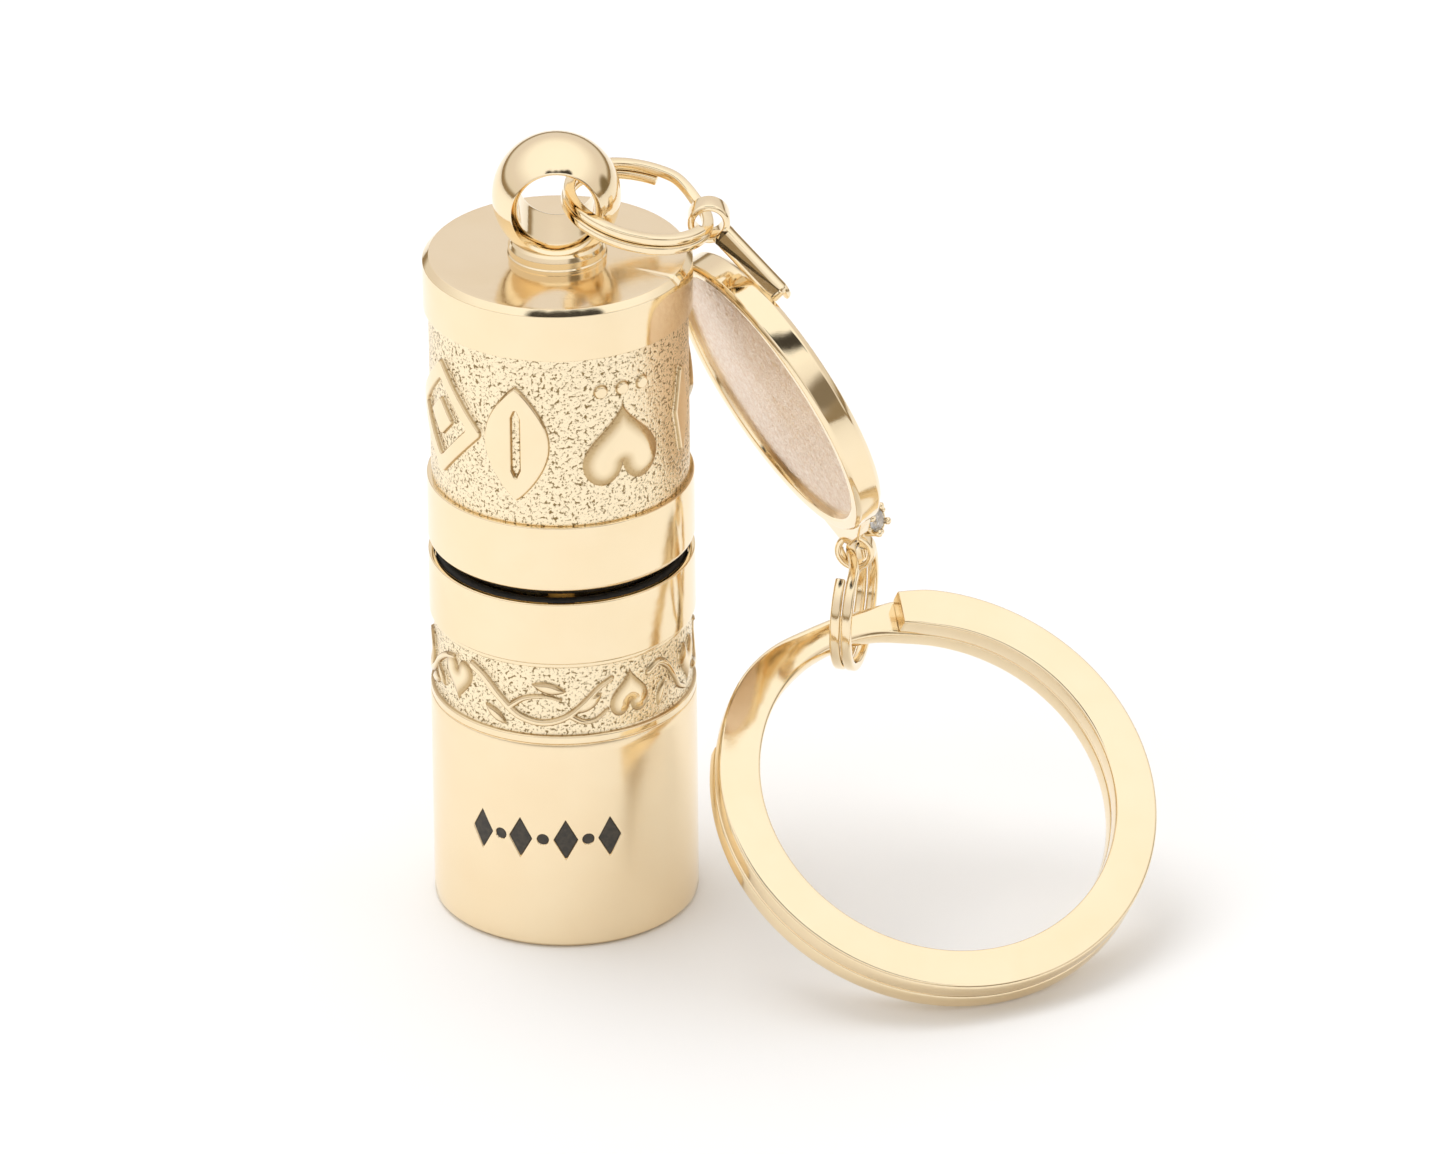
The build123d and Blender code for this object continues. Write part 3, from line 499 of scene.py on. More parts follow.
def sdf_line(x, y, pts, radii):
    d = np.full(x.shape, 1e9)
    for (ax, ay), (bx, by), r0, r1 in zip(pts[:-1], pts[1:], radii[:-1], radii[1:]):
        ex, ey = bx - ax, by - ay
        wx, wy = x - ax, y - ay
        t = np.clip((wx * ex + wy * ey) / max(ex * ex + ey * ey, 1e-12), 0, 1)
        d = np.minimum(d, np.hypot(wx - ex * t, wy - ey * t) - (r0 + (r1 - r0) * t))
    return d


def spline(points, n=10):
    """Smooth line through these points."""
    p = np.array(points, float)
    p = np.vstack([2 * p[0] - p[1], p, 2 * p[-1] - p[-2]])
    out = []
    for i in range(1, len(p) - 2):
        for t in np.linspace(0, 1, n, endpoint=False):
            out.append(0.5 * ((2 * p[i]) + (-p[i - 1] + p[i + 1]) * t + (2 * p[i - 1] - 5 * p[i] + 4 * p[i + 1] - p[i + 2]) * t * t
                              + (-p[i - 1] + 3 * p[i] - 3 * p[i + 1] + p[i + 2]) * t ** 3))
    out.append(p[-2])
    return [tuple(q) for q in out]


def edge(d, width=0.16):
    """Height of a raised shape from its signed distance: 1 inside, a rounded shoulder, 0 outside."""
    t = np.clip(0.5 - d / width, 0, 1)
    return t * t * (3 - 2 * t)


def deg(az):
    return R_BODY * math.radians(az)


def heart_outline(cx, cz, w, h, up=True):
    """Point-up heart (or point-down), w wide and h high."""
    pts = []
    for t in np.linspace(0, TAU, 72, endpoint=False):
        x = 16 * math.sin(t) ** 3
        y = 13 * math.cos(t) - 5 * math.cos(2 * t) - 2 * math.cos(3 * t) - math.cos(4 * t)
        x, y = x / 32.0, (y + 2.5) / 29.0
        pts.append((cx + x * w, cz + (-y if up else y) * h))
    return pts


def hammered(X, Z):
    """Fine grainy ground. Gives a mask that is 0 in the small pits, and the height in mm."""
    wrap = 254
    cell = TAU * R_BODY / wrap
    wx = X + 0.20 * (value_noise(X, Z, cell * 1.7, wrap / 1.7, 21) - 0.5)
    wz = Z + 0.20 * (value_noise(X, Z, cell * 1.7, wrap / 1.7, 22) - 0.5)
    u, v = wx / cell, wz * 1.18 / cell
    iu, iv = np.floor(u), np.floor(v)
    best = np.full(X.shape, 9.0)
    for di in (-1, 0, 1):
        for dj in (-1, 0, 1):
            ci, cj = iu + di, iv + dj
            wi = np.mod(ci, wrap)
            best = np.minimum(best, np.hypot(u - ci - 0.05 - 0.9 * seeded(wi, cj, 1), v - cj - 0.05 - 0.9 * seeded(wi, cj, 2)))
    grain = 1 - np.clip((best - 0.52) / 0.26, 0, 1)
    h = 0.020 * grain - 0.016 * best + 0.030 * (value_noise(X, Z, cell * 3.0, wrap / 3.0, 9) - 0.5)
    return grain, h


def band_mesh(z_lo, z_hi, nu, nv, height, inner, r_fun=None, eased=0.06):
    """Closed ring whose outside is a height field: rows along z, columns round it."""
    az = np.arange(nu) * TAU / nu
    zz = np.linspace(z_lo, z_hi, nv)
    A, Z = np.meshgrid(az, zz)
    X = np.where(A > math.pi, A - TAU, A) * R_BODY
    r, rel, pit = height(X, Z, A)
    x = r * np.sin(A)
    y = -r * np.cos(A)
    V = np.stack([x, y, Z], -1).reshape(-1, 3)
    rel, pit = rel.reshape(-1), pit.reshape(-1)
    base = len(V)
    low = np.stack([inner * np.sin(az), -inner * np.cos(az), np.full(nu, z_lo)], -1)
    high = np.stack([inner * np.sin(az), -inner * np.cos(az), np.full(nu, z_hi)], -1)
    V = np.concatenate([V, low, high])
    rel = np.concatenate([rel, np.zeros(2 * nu)])
    pit = np.concatenate([pit, np.zeros(2 * nu)])
    i = np.arange(nu)
    j = (i + 1) % nu
    faces = []
    for k in range(nv - 1):
        a, b = k * nu, (k + 1) * nu
        faces.append(np.stack([a + i, a + j, b + j, b + i], -1))
    faces.append(np.stack([base + i, base + j, j, i], -1))                       # underside
    top = (nv - 1) * nu
    faces.append(np.stack([top + i, top + j, base + nu + j, base + nu + i], -1))  # upper side
    faces.append(np.stack([base + j, base + i, base + nu + i, base + nu + j], -1))  # bore
    return V, np.concatenate(faces), {"relief": rel, "pit": pit}


# --- heart dial
def heart_shapes():
    """Raised shapes of one half of the heart dial, about azimuth 0, in (arc, height)."""
    d = deg

    def lozenge(x0, z0, hw, hh, r):
        return fillet([(x0 - hw, z0, r), (x0, z0 - hh, r), (x0 + hw, z0, r), (x0, z0 + hh, r)], 5)

    c = d(-62)
    frame, window, core = lozenge(c, 38.1, 4.2, 4.3, .45), lozenge(c, 38.1, 2.85, 2.9, .30), lozenge(c, 38.1, 1.45, 1.45, .30)
    c = d(-19)
    zz = np.linspace(33.8, 42.2, 25)
    w = 2.32 * np.clip(np.sin(np.pi * np.clip((zz - 33.8) / 8.4, 0, 1)), 0, 1) ** 0.85
    leaf = [(c + a, b) for a, b in zip(w, zz)] + [(c - a, b) for a, b in zip(w[-2:0:-1], zz[-2:0:-1])]
    vein = fillet([(c - .32, 36.1, .2), (c, 35.4, .1), (c + .32, 36.1, .2), (c + .32, 39.9, .2), (c, 40.6, .1), (c - .32, 39.9, .2)], 4)
    heart = heart_outline(d(29), 37.75, 5.9, 6.0)
    spear = lozenge(d(67), 38.15, 0.96, 3.95, .25)
    return frame, window, core, leaf, vein, heart, spear


def heart_height(X, Z, A):
    half = math.pi * R_BODY
    # two equal halves round the ring
    x = np.mod(X + half / 2, half) - half / 2
    frame, window, core, leaf, vein, heart, spear = heart_shapes()
    sh = lambda poly: np.minimum(np.minimum(sdf_poly(x, Z, poly), sdf_poly(x - half, Z, poly)), sdf_poly(x + half, Z, poly))
    d_b = np.minimum(np.maximum(sh(frame), -sh(window)), sh(core))
    studs = np.minimum.reduce([np.hypot(x - deg(29) - k * 1.6, Z - 41.8) - 0.46 for k in (-1, 0, 1)])
    d_flat = np.minimum.reduce([d_b, np.maximum(sh(leaf), -sh(vein)), studs, sh(spear)])
    d_h = sh(heart)
    flat = edge(d_flat, 0.20)
    dome = np.clip(-d_h / 1.5, 0, 1)
    heart_h = np.where(d_h < 0, 0.30 + 0.70 * (1 - (1 - dome) ** 2.2), 0) * edge(d_h, 0.18)
    rel = np.maximum(flat, heart_h)
    grain, ground = hammered(X, Z)
    # the ground is filed up to the plain lips at both ends
    lip = np.clip((Z - 43.55) / 0.25, 0, 1) + np.clip((32.60 - Z) / 0.25, 0, 1)
    lip = lip * lip * (3 - 2 * lip)
    r = R_GROUND - 0.03 + ground * (1 - rel) * (1 - lip)
    full = R_BODY - 0.004
    r = r + (full - r) * rel
    ends = np.minimum(Z - 31.96, 44.39 - Z)
    r = r - 0.03 * np.clip(1 - ends / 0.05, 0, 1)
    return r, rel, (1 - grain) * (1 - rel)


V, F, marks = band_mesh(31.96, 44.39, 1180, 252, heart_height, 8.25)
make("heart_dial_relief", V, F, M_RELIEF, "heart_dial", ("heart_dial",), attrs=marks)


# --- vine dial
def vine_height(X, Z, A):
    half = math.pi * R_BODY
    x = np.mod(X + half / 2, half) - half / 2
    d = deg

    def rep(f):
        return np.minimum(np.minimum(f(x), f(x - half)), f(x + half))

    hearts = [heart_outline(d(-53), 18.75, 3.0, 3.3, False), heart_outline(d(31), 18.95, 3.1, 3.5, True),
              heart_outline(d(72), 18.7, 2.7, 3.2, False)]
    d_h = np.full(X.shape, 9.0)
    for h in hearts:
        d_h = np.minimum(d_h, rep(lambda q, h=h: sdf_poly(q, Z, h)))
    lines = [
        (spline([(d(-43), 20.4), (d(-37), 19.9), (d(-29), 18.7), (d(-20), 17.55), (d(-9), 17.15), (d(1), 17.55), (d(9), 18.5), (d(16), 19.6), (d(22), 20.2)]), 0.36, 0.20),
        (spline([(d(-24), 18.1), (d(-17), 18.9), (d(-8), 19.15), (d(-1), 18.9)]), 0.24, 0.13),
        (spline([(d(3), 17.7), (d(9), 17.2), (d(15), 17.3), (d(20), 17.9)]), 0.24, 0.14),
        (spline([(d(41), 19.9), (d(47), 20.3), (d(53), 19.7), (d(58), 18.6), (d(62), 17.6), (d(68), 17.0)]), 0.30, 0.18),
        (spline([(d(83), 17.5), (d(92), 17.2), (d(102), 18.0), (d(110), 19.2), (d(118), 20.0), (d(124), 20.3)]), 0.32, 0.20),
        (spline([(d(96), 17.4), (d(100), 18.9), (d(97), 20.0), (d(92), 20.2)]), 0.22, 0.13),
    ]
    d_l = np.full(X.shape, 9.0)
    for pts, r0, r1 in lines:
        radii = list(np.linspace(r0, r1, len(pts)))
        d_l = np.minimum(d_l, rep(lambda q: sdf_line(q, Z, pts, radii)))
    # almond leaves: two arcs meeting in points
    leaves = [(d(11.5), 18.55, 35, 1.15, 0.50), (d(-6), 19.75, -12, 1.25, 0.45), (d(-31), 17.3, -35, 1.05, 0.42), (d(48.5), 17.9, 70, 1.0, 0.40),
              (d(104), 17.3, 20, 1.1, 0.42), (d(112), 18.1, -50, 0.9, 0.38)]
    d_leaf = np.full(X.shape, 9.0)
    for cx, cz, ang, ln, wd in leaves:
        ca, sa = math.cos(math.radians(ang)), math.sin(math.radians(ang))
        R = (ln * ln + wd * wd) / (2 * wd)

        def leaf(q, cx=cx, cz=cz, ca=ca, sa=sa, R=R, wd=wd):
            u = (q - cx) * ca + (Z - cz) * sa
            v = -(q - cx) * sa + (Z - cz) * ca
            return np.maximum(np.hypot(u, v - (R - wd)), np.hypot(u, v + (R - wd))) - R

        d_leaf = np.minimum(d_leaf, rep(leaf))
    dome_h = np.where(d_h < 0, 0.35 + 0.65 * (1 - (1 - np.clip(-d_h / 1.0, 0, 1)) ** 2.2), 0) * edge(d_h, 0.16)
    dome_l = np.where(d_l < 0, 0.45 + 0.55 * (1 - (1 - np.clip(-d_l / 0.28, 0, 1)) ** 2), 0) * edge(d_l, 0.14)
    dome_f = np.where(d_leaf < 0, 0.35 + 0.6 * (1 - (1 - np.clip(-d_leaf / 0.40, 0, 1)) ** 2), 0) * edge(d_leaf, 0.14)
    rel = np.maximum(np.maximum(dome_h, dome_l), dome_f)
    grain, ground = hammered(X, Z)
    low = np.clip((Z - 15.70 - 0.42) / 0.16, 0, 1)      # narrow ledge at the foot
    low = low * low * (3 - 2 * low)
    hi = np.clip((21.60 - 0.20 - Z) / 0.12, 0, 1)       # fine bead at the head
    hi = hi * hi * (3 - 2 * hi)
    field = low * hi
    r = R_GROUND - 0.03 + ground * (1 - rel) * field
    r = r + (R_BODY - 0.01 - r) * rel * field
    edge_r = np.where(Z < 18.0, 8.99, 8.86)
    r = r + (edge_r - r) * (1 - field)
    ends = np.minimum(Z - 15.62, 21.68 - Z)
    r = r - 0.04 * np.clip(1 - ends / 0.06, 0, 1)
    rel = np.maximum(rel * field, 1 - field)
    return r, rel, (1 - grain) * (1 - rel)


V, F, marks = band_mesh(15.62, 21.68, 1180, 124, vine_height, 8.25)
make("vine_dial_relief", V, F, M_RELIEF, "vine_dial", ("vine_dial",), attrs=marks)


# ------------------------------------------------------------------ base cup with its engraved row
MARKS = [("lozenge", az, 8.3, 0.82, 1.50) for az in (-38, -19.5, 0.5, 20)]
DOTS = [(az, 8.3, 0.40) for az in (-28.7, -9.5, 10.3)]


def mark_sdf(X, Z):
    d = np.full(X.shape, 9.0)
    for _, az, z, w, h in MARKS:
        x = deg(az)
        d = np.minimum(d, sdf_poly(X, Z, [(x - w, z), (x, z - h), (x + w, z), (x, z + h)]))
    for az, z, r in DOTS:
        d = np.minimum(d, np.hypot(X - deg(az), Z - z) - r)
    return d


# the cup's wall: the engraved window is a fine patch, the rest is turned
PATCH = (-46.0, 28.0, 5.9, 10.7)


def cup_wall():
    """Whole side wall as one grid that is fine only where the engraving is."""
    az = np.unique(np.round(np.concatenate([np.linspace(-180, PATCH[0], 68), np.linspace(PATCH[0], PATCH[1], 460), np.linspace(PATCH[1], 180, 76)]), 6))[:-1]
    z0, z1 = 0.35, 15.52
    zz = np.unique(np.round(np.concatenate([np.linspace(z0, PATCH[2], 8), np.linspace(PATCH[2], PATCH[3], 150), np.linspace(PATCH[3], z1, 8)]), 6))
    A, Z = np.meshgrid(np.radians(az), zz)
    X = A * R_BODY
    d = mark_sdf(X, Z)
    depth = 0.13 * edge(d, 0.09)
    r = R_BODY - depth
    V = [np.stack([r * np.sin(A), -r * np.cos(A), Z], -1).reshape(-1, 3)]
    nu, nv = len(az), len(zz)
    a = np.radians(az)
    rings = []
    # bottom: wall foot, chamfer, underside, screw recess
    lower = [(8.98, 0.30), (8.72, 0.04), (8.66, 0.0), (2.42, 0.0), (2.36, 0.03), (2.34, 0.35), (1.15, 1.55), (1.15, 2.5), (7.52, 2.5), (7.52, 15.56), (7.56, 15.60), (8.90, 15.60), (8.97, 15.57)]
    count = nu * nv
    loops = [np.arange(nu)]
    for rr, z in lower:
        V.append(np.stack([rr * np.sin(a), -rr * np.cos(a), np.full(nu, z)], -1))
        loops.append(np.arange(count, count + nu))
        count += nu
    loops.append(np.arange((nv - 1) * nu, nv * nu))
    F = []
    i = np.arange(nu)
    j = (i + 1) % nu
    for k in range(nv - 1):
        F.append(np.stack([k * nu + i, k * nu + j, (k + 1) * nu + j, (k + 1) * nu + i], -1))
    for p, q in zip(loops[:-1], loops[1:]):
        F.append(np.stack([p[j], p[i], q[i], q[j]], -1))
    return np.concatenate(V), np.concatenate(F)


V, F = cup_wall()
make("base_cup_shell", V, F, M_CUP, "base", ("base_cup",), sharp=45, weighted=False)


def inlay(name, outline, az, depth=0.075):
    """Thin curved plate of dark fill lying in an engraved mark."""
    pts = np.array(outline)
    c = pts.mean(0)
    rings, k = [], len(pts)
    for s in (1.0, 0.75, 0.5, 0.25):
        rings.append(c + (pts - c) * s)
    V, F = [], []
    for layer, r in ((0, R_BODY - depth), (1, R_BODY - depth - 0.035)):
        for ring in rings:
            for x, z in ring:
                t = x / R_BODY
                V.append((r * math.sin(t), -r * math.cos(t), z))
        t = c[0] / R_BODY
        V.append((r * math.sin(t), -r * math.cos(t), c[1]))
    m = len(rings) * k + 1
    for q in range(len(rings) - 1):
        for i in range(k):
            j = (i + 1) % k
            F.append((q * k + i, q * k + j, (q + 1) * k + j, (q + 1) * k + i))
            F.append((m + q * k + j, m + q * k + i, m + (q + 1) * k + i, m + (q + 1) * k + j))
    q = len(rings) - 1
    for i in range(k):
        j = (i + 1) % k
        F.append((q * k + i, q * k + j, m - 1))
        F.append((m + q * k + j, m + q * k + i, 2 * m - 1))
        F.append((i, m + i, m + j, j))
    return make(name, V, F, M_FILL, "base", sharp=40)


for n, (_, az, z, w, h) in enumerate(MARKS):
    x = deg(az)
    e = 0.94
    pts = []
    corners = [(x - w * e, z), (x, z - h * e), (x + w * e, z), (x, z + h * e)]
    for (ax, ay), (bx, by) in zip(corners, corners[1:] + corners[:1]):
        for t in np.linspace(0, 1, 8, endpoint=False):
            pts.append((ax + (bx - ax) * t, ay + (by - ay) * t))
    inlay(f"mark_fill_{n}", pts, az)
for n, (az, z, r) in enumerate(DOTS):
    pts = [(deg(az) + r * 0.93 * math.cos(t), z + r * 0.93 * math.sin(t)) for t in np.linspace(0, TAU, 32, endpoint=False)]
    inlay(f"dot_fill_{n}", pts, az)

# ------------------------------------------------------------------ collars, seal and cap
turned("mid_collar_ring", fillet([(7.52, 21.70, .05), (9.0, 21.70, .09), (9.0, 26.20, .10), (8.62, 26.20, .08), (8.62, 25.40, .05), (7.52, 25.40, .05)], 5),
       M_GOLD, "base", "polished_gold", ("mid_collar",))
turned("seal_ring", [(8.07 + 0.42 * math.cos(t), 25.83 + 0.42 * math.sin(t)) for t in np.linspace(0, TAU, 16, endpoint=False)],
       M_RUBBER, "base", "black_rubber", ("seal_o_ring",), segs=192, weighted=False)
turned("upper_collar_ring", fillet([(7.52, 26.75, .05), (8.42, 26.75, .20), (9.0, 27.32, .45), (9.0, 31.95, .09), (7.52, 31.95, .05)], 6),
       M_GOLD, "upper", "polished_gold", ("upper_collar",))


def cap():
    """Cap with its chamfered rim, the seats underneath, and one index nick in the rim."""
    prof = fillet([(1.52, 44.40), (4.83, 44.40), (4.83, 45.32), (5.62, 45.32), (5.62, 44.40), (6.60, 44.40), (6.60, 45.32),
                   (7.52, 45.32), (7.52, 44.40), (9.05, 44.40, .08), (9.05, 47.70, .07), (8.63, 48.10, .05), (8.25, 48.10), (5.0, 48.10), (1.52, 48.10)], 5)
    v, f = lathe(prof, 720)
    az = np.degrees(np.arctan2(v[:, 0], -v[:, 1]))
    r = np.hypot(v[:, 0], v[:, 1])
    hit = (np.abs(az - 63) < 1.7) & (r > 8.4) & (v[:, 2] > 47.5)
    soft = np.clip(1 - np.abs(az - 63) / 1.7, 0, 1) ** 0.5
    v[hit, 2] -= (0.16 * soft[hit])
    return v, f


V, F = cap()
ob = make("top_cap_body", V, F, M_GOLD, "upper", ("top_cap",), sharp=35, weighted=True)
ob.data.materials.append(M_CAP)
for q in ob.data.polygons:
    if q.normal.z > 0.99 and q.center.z > 0.048:
        q.material_index = 1

# ------------------------------------------------------------------ ball eyelet
mouth = math.sqrt(BALL_R ** 2 - MOUTH_R ** 2)
prof = [(HOLE_R, 0.0)]
prof += [(HOLE_R, y) for y in np.linspace(0.4, mouth - 0.95, 6)]
# flare from the bore into the mouth, rolled over onto the sphere
for t in np.linspace(0, 1, 9)[1:]:
    prof.append((HOLE_R + (MOUTH_R - 0.05 - HOLE_R) * t ** 2.0, mouth - 0.95 + 0.85 * t))
a0 = math.atan2(mouth - 0.04, MOUTH_R + 0.06)
prof.append((MOUTH_R + 0.0, mouth - 0.03))
for q in np.linspace(a0, 0, 40):
    prof.append((BALL_R * math.cos(q), BALL_R * math.sin(q)))
half_p = prof
full_p = half_p + [(r, -y) for r, y in half_p[::-1][1:-1]]
V, F = lathe(full_p, 256, True, origin=(0, 0, BALL_Z), axis=(0, 1, 0), ref=(1, 0, 0))
if lathe_flip(full_p) < 0:
    F = [f[::-1] for f in F]
make("ball_eyelet_body", V, F, M_GOLD, "upper", ("ball_eyelet",), sharp=60)
foot = fillet([(0.0, 48.08), (3.35, 48.08, .02), (3.35, 48.24, .05), (3.26, 48.34, .05), (3.30, 48.80, .12), (3.15, 49.08, .12), (2.95, 49.34, .08), (0.0, 49.34)], 6)
turned("eyelet_foot", foot, M_GOLD, "upper", "polished_gold", closed=False, segs=192)
turned("eyelet_stud", fillet([(0.0, 42.60), (1.35, 42.60, .05), (1.50, 42.75, .05), (1.50, 48.2), (0.0, 48.2)], 3), M_BRASS, "upper", "polished_gold", closed=False, segs=96)

# ------------------------------------------------------------------ medallion
OUT = fillet([(9.86, 0.57, .12), (10.63, 0.57, .22), (10.63, -1.63, .42), (0.0, -1.63, 0)], 7)


def medallion_rim():
    """Rim, side wall and flat back of the medallion, up to the sunk face."""
    prof = [(9.60, -0.35), (9.60, 0.02)]
    prof += [tuple(p) for p in fillet([(9.60, 0.02, 0), (9.66, 0.50, .10), (9.84, 0.57, .08), (10.40, 0.57, .16), (10.63, 0.32, .22), (10.63, -1.20, .30), (10.20, -1.63, .35), (9.0, -1.63, 0)], 6)][1:]
    prof += [(r, -1.63) for r in (8.0, 6.5, 5.0, 3.5, 2.0, 0.9)]
    prof += [(0.0, -1.63)]
    return prof


prof = medallion_rim()
# close it under the sunk face
prof = [(0.0, -0.35)] + prof
v, f = lathe(prof, 360, False, origin=MED_C, axis=MED_N, ref=MED_U)
f = [q[::-1] for q in f] if lathe_flip(prof) < 0 else f
make("medallion_body", v, f, M_GOLD, "medallion", ("medallion_disc",), sharp=45, weighted=True)


def sunk_face():
    """The grainy sunk face, as a disc of fine rings."""
    nr, na = 150, 560
    rr = np.linspace(0, 9.615, nr + 1)[1:]
    aa = np.arange(na) * TAU / na
    Rr, Aa = np.meshgrid(rr, aa, indexing="ij")
    X, Y = Rr * np.cos(Aa), Rr * np.sin(Aa)
    g = 0.050 * (value_noise(X + 40, Y + 40, 0.30, 1e6, 3) - 0.5) + 0.040 * pebbles(X + 40, Y + 40, 0.24, 1e6) + 0.03 * (value_noise(X + 40, Y + 40, 0.75, 1e6, 8) - 0.5)
    g = g * np.clip((9.55 - Rr) / 0.3, 0, 1)
    P = MED_C + X[..., None] * MED_X + Y[..., None] * MED_U + g[..., None] * MED_N
    P = P.reshape(-1, 3)
    V = np.concatenate([P, [MED_C]])
    i = np.arange(na)
    j = (i + 1) % na
    F = [np.stack([k * na + i, (k + 1) * na + i, (k + 1) * na + j, k * na + j], -1) for k in range(nr - 1)]
    F = np.concatenate(F).tolist()
    c = len(V) - 1
    F += [(c, int(a), int(b)) for a, b in zip(i, j)]
    return V, F


V, F = sunk_face()
make("medallion_face", V, F, M_RECESS, "medallion")


def med(x, y, z):
    return MED_C + MED_X * x + MED_U * y + MED_N * z


def plate(name, outline, z0, z1, mat, bevel=0.12, body="medallion", replaces=(), n=4, place=med):
    """A flat plate with rounded edges between two levels of the medallion's frame."""
    pts = np.array(outline)
    lo, hi = min(z0, z1), max(z0, z1)
    area = 0.5 * np.sum(pts[:, 0] * np.roll(pts[:, 1], -1) - np.roll(pts[:, 0], -1) * pts[:, 1])
    if area < 0:
        pts = pts[::-1]
    nxt, prv = np.roll(pts, -1, 0), np.roll(pts, 1, 0)
    t = nxt - prv
    t /= np.linalg.norm(t, axis=1)[:, None]
    nrm = np.stack([t[:, 1], -t[:, 0]], -1)
    levels = []
    for q in np.linspace(0, math.pi / 2, n + 1):
        levels.append((bevel * (1 - math.sin(q)), lo + bevel * (1 - math.cos(q))))
    for q in np.linspace(math.pi / 2, 0, n + 1):
        levels.append((bevel * (1 - math.sin(q)), hi - bevel * (1 - math.cos(q))))
    V, k = [], len(pts)
    for inset, z in levels:
        for p in pts - nrm * inset:
            V.append(place(p[0], p[1], z))
    F = []
    for a in range(len(levels) - 1):
        for i in range(k):
            j = (i + 1) % k
            F.append((a * k + i, a * k + j, (a + 1) * k + j, (a + 1) * k + i))
    last = (len(levels) - 1) * k
    F.append(tuple(range(k))[::-1])
    F.append(tuple(range(last, last + k)))
    return make(name, V, F, mat, body, replaces, sharp=40, weighted=True)


# lower plate and eye
low_plate = fillet([(-5.3, -9.15, 0), (-3.5, -11.1, 2.0), (-0.62, -13.2, .25), (0.62, -13.2, .25), (3.5, -11.1, 2.0), (5.3, -9.15, 0), (0, -9.0, 0)], 5)
plate("medallion_neck", low_plate, -1.15, -0.15, M_GOLD, 0.16)
EYE_W = unit(np.cross([0, 0, 1.0], B_N))
turned("medallion_eye", fillet([(0.92, -0.5, .18), (1.38, -0.5, .18), (1.38, 0.5, .18), (0.92, 0.5, .18)], 5), M_GOLD, "medallion", "polished_gold",
       segs=96, origin=LUG_P, axis=EYE_W, ref=(0, 0, 1))

# bail: an eye on the small ring and a bar down the back
turned("bail_eye", fillet([(0.97, -0.85, .16), (1.42, -0.85, .20), (1.42, 0.85, .20), (0.97, 0.85, .16)], 5), M_GOLD, "medallion", "polished_gold",
       ("bail_strap",), segs=96, origin=BAIL_P, axis=(0, 1, 0), ref=(0, 0, 1))
BAIL_E = med(4.1, 8.9, -2.3)
BAIL_1 = unit(BAIL_E - BAIL_P)
BAIL_3 = unit(np.array([0, 1.0, 0]) - BAIL_1 * BAIL_1[1])
BAIL_2 = np.cross(BAIL_3, BAIL_1)


def bail(a, b, c):
    return BAIL_P + BAIL_1 * a + BAIL_2 * b + BAIL_3 * c


strap = fillet([(1.10, -0.73, .10), (6.80, -0.73, .30), (7.08, -0.45, .12), (7.08, 0.45, .12), (6.80, 0.73, .30), (1.10, 0.73, .10)], 5)
plate("bail_bar", strap, -0.60, 0.60, M_GOLD, 0.42, place=bail, n=8)
turned("bail_pin", fillet([(0.0, -2.60), (0.64, -2.60, .04), (0.64, -2.78, .06), (0.50, -2.96, .10), (0.0, -3.02)], 5), M_GOLD, "medallion", "polished_gold",
       ("bail_rivet",), closed=False, segs=96, origin=med(3.95, 8.85, 0), axis=MED_N, ref=MED_U)

# arm, claw cup and stone
ST_A = unit(MED_X * 0.85 - MED_N * 0.53)
ST_P = med(1.2, -12.0, -2.2)
ST_S = unit(np.cross(MED_U, ST_A))


def setting(u, v, h):
    return ST_P + MED_U * u + ST_S * v + ST_A * h


arm0, arm1 = med(0.5, -9.9, -2.06), med(0.73, -12.0, -1.95)
arm_len = float(np.linalg.norm(arm1 - arm0))
turned("setting_arm", fillet([(0.0, 0.0), (0.38, 0.0, .15), (0.38, arm_len), (0.0, arm_len)], 5), M_GOLD, "medallion", "polished_gold",
       closed=False, segs=48, origin=arm0, axis=arm1 - arm0, ref=MED_X)
turned("claw_cup", fillet([(0.0, -0.60), (0.70, -0.60, .08), (0.80, -0.28, .10), (0.92, -0.18, .06), (0.94, 0.05, .06), (1.12, 0.45, .05), (0.96, 0.46, .03), (0.60, -0.18, .05), (0.0, -0.18)], 4),
       M_GOLD, "medallion", "polished_gold", ("stone_setting",), closed=False, segs=96, origin=ST_P, axis=ST_A, ref=MED_U)
for k in range(4):
    q = math.radians(45 + 90 * k)
    outw = MED_U * math.cos(q) + ST_S * math.sin(q)
    turned(f"claw_{k}", fillet([(0.0, -0.35), (0.15, -0.35), (0.19, 0.45, .05), (0.25, 0.66, .06), (0.25, 0.84, .10), (0.12, 0.95, .06), (0.0, 0.96)], 4), M_GOLD, "medallion",
           "polished_gold", closed=False, segs=32, origin=ST_P + outw * 0.98, axis=ST_A - outw * 0.06, ref=MED_U)
    q = math.radians(90 * k)
    outw = MED_U * math.cos(q) + ST_S * math.sin(q)
    turned(f"bead_{k}", [(0.0, -0.17)] + [(0.17 * math.cos(a), 0.17 * math.sin(a)) for a in np.linspace(-1.4, 1.4, 12)] + [(0.0, 0.17)], M_GOLD, "medallion",
           "polished_gold", closed=False, segs=24, origin=ST_P + outw * 1.05 + ST_A * 0.44, axis=ST_A, ref=MED_U, weighted=False)


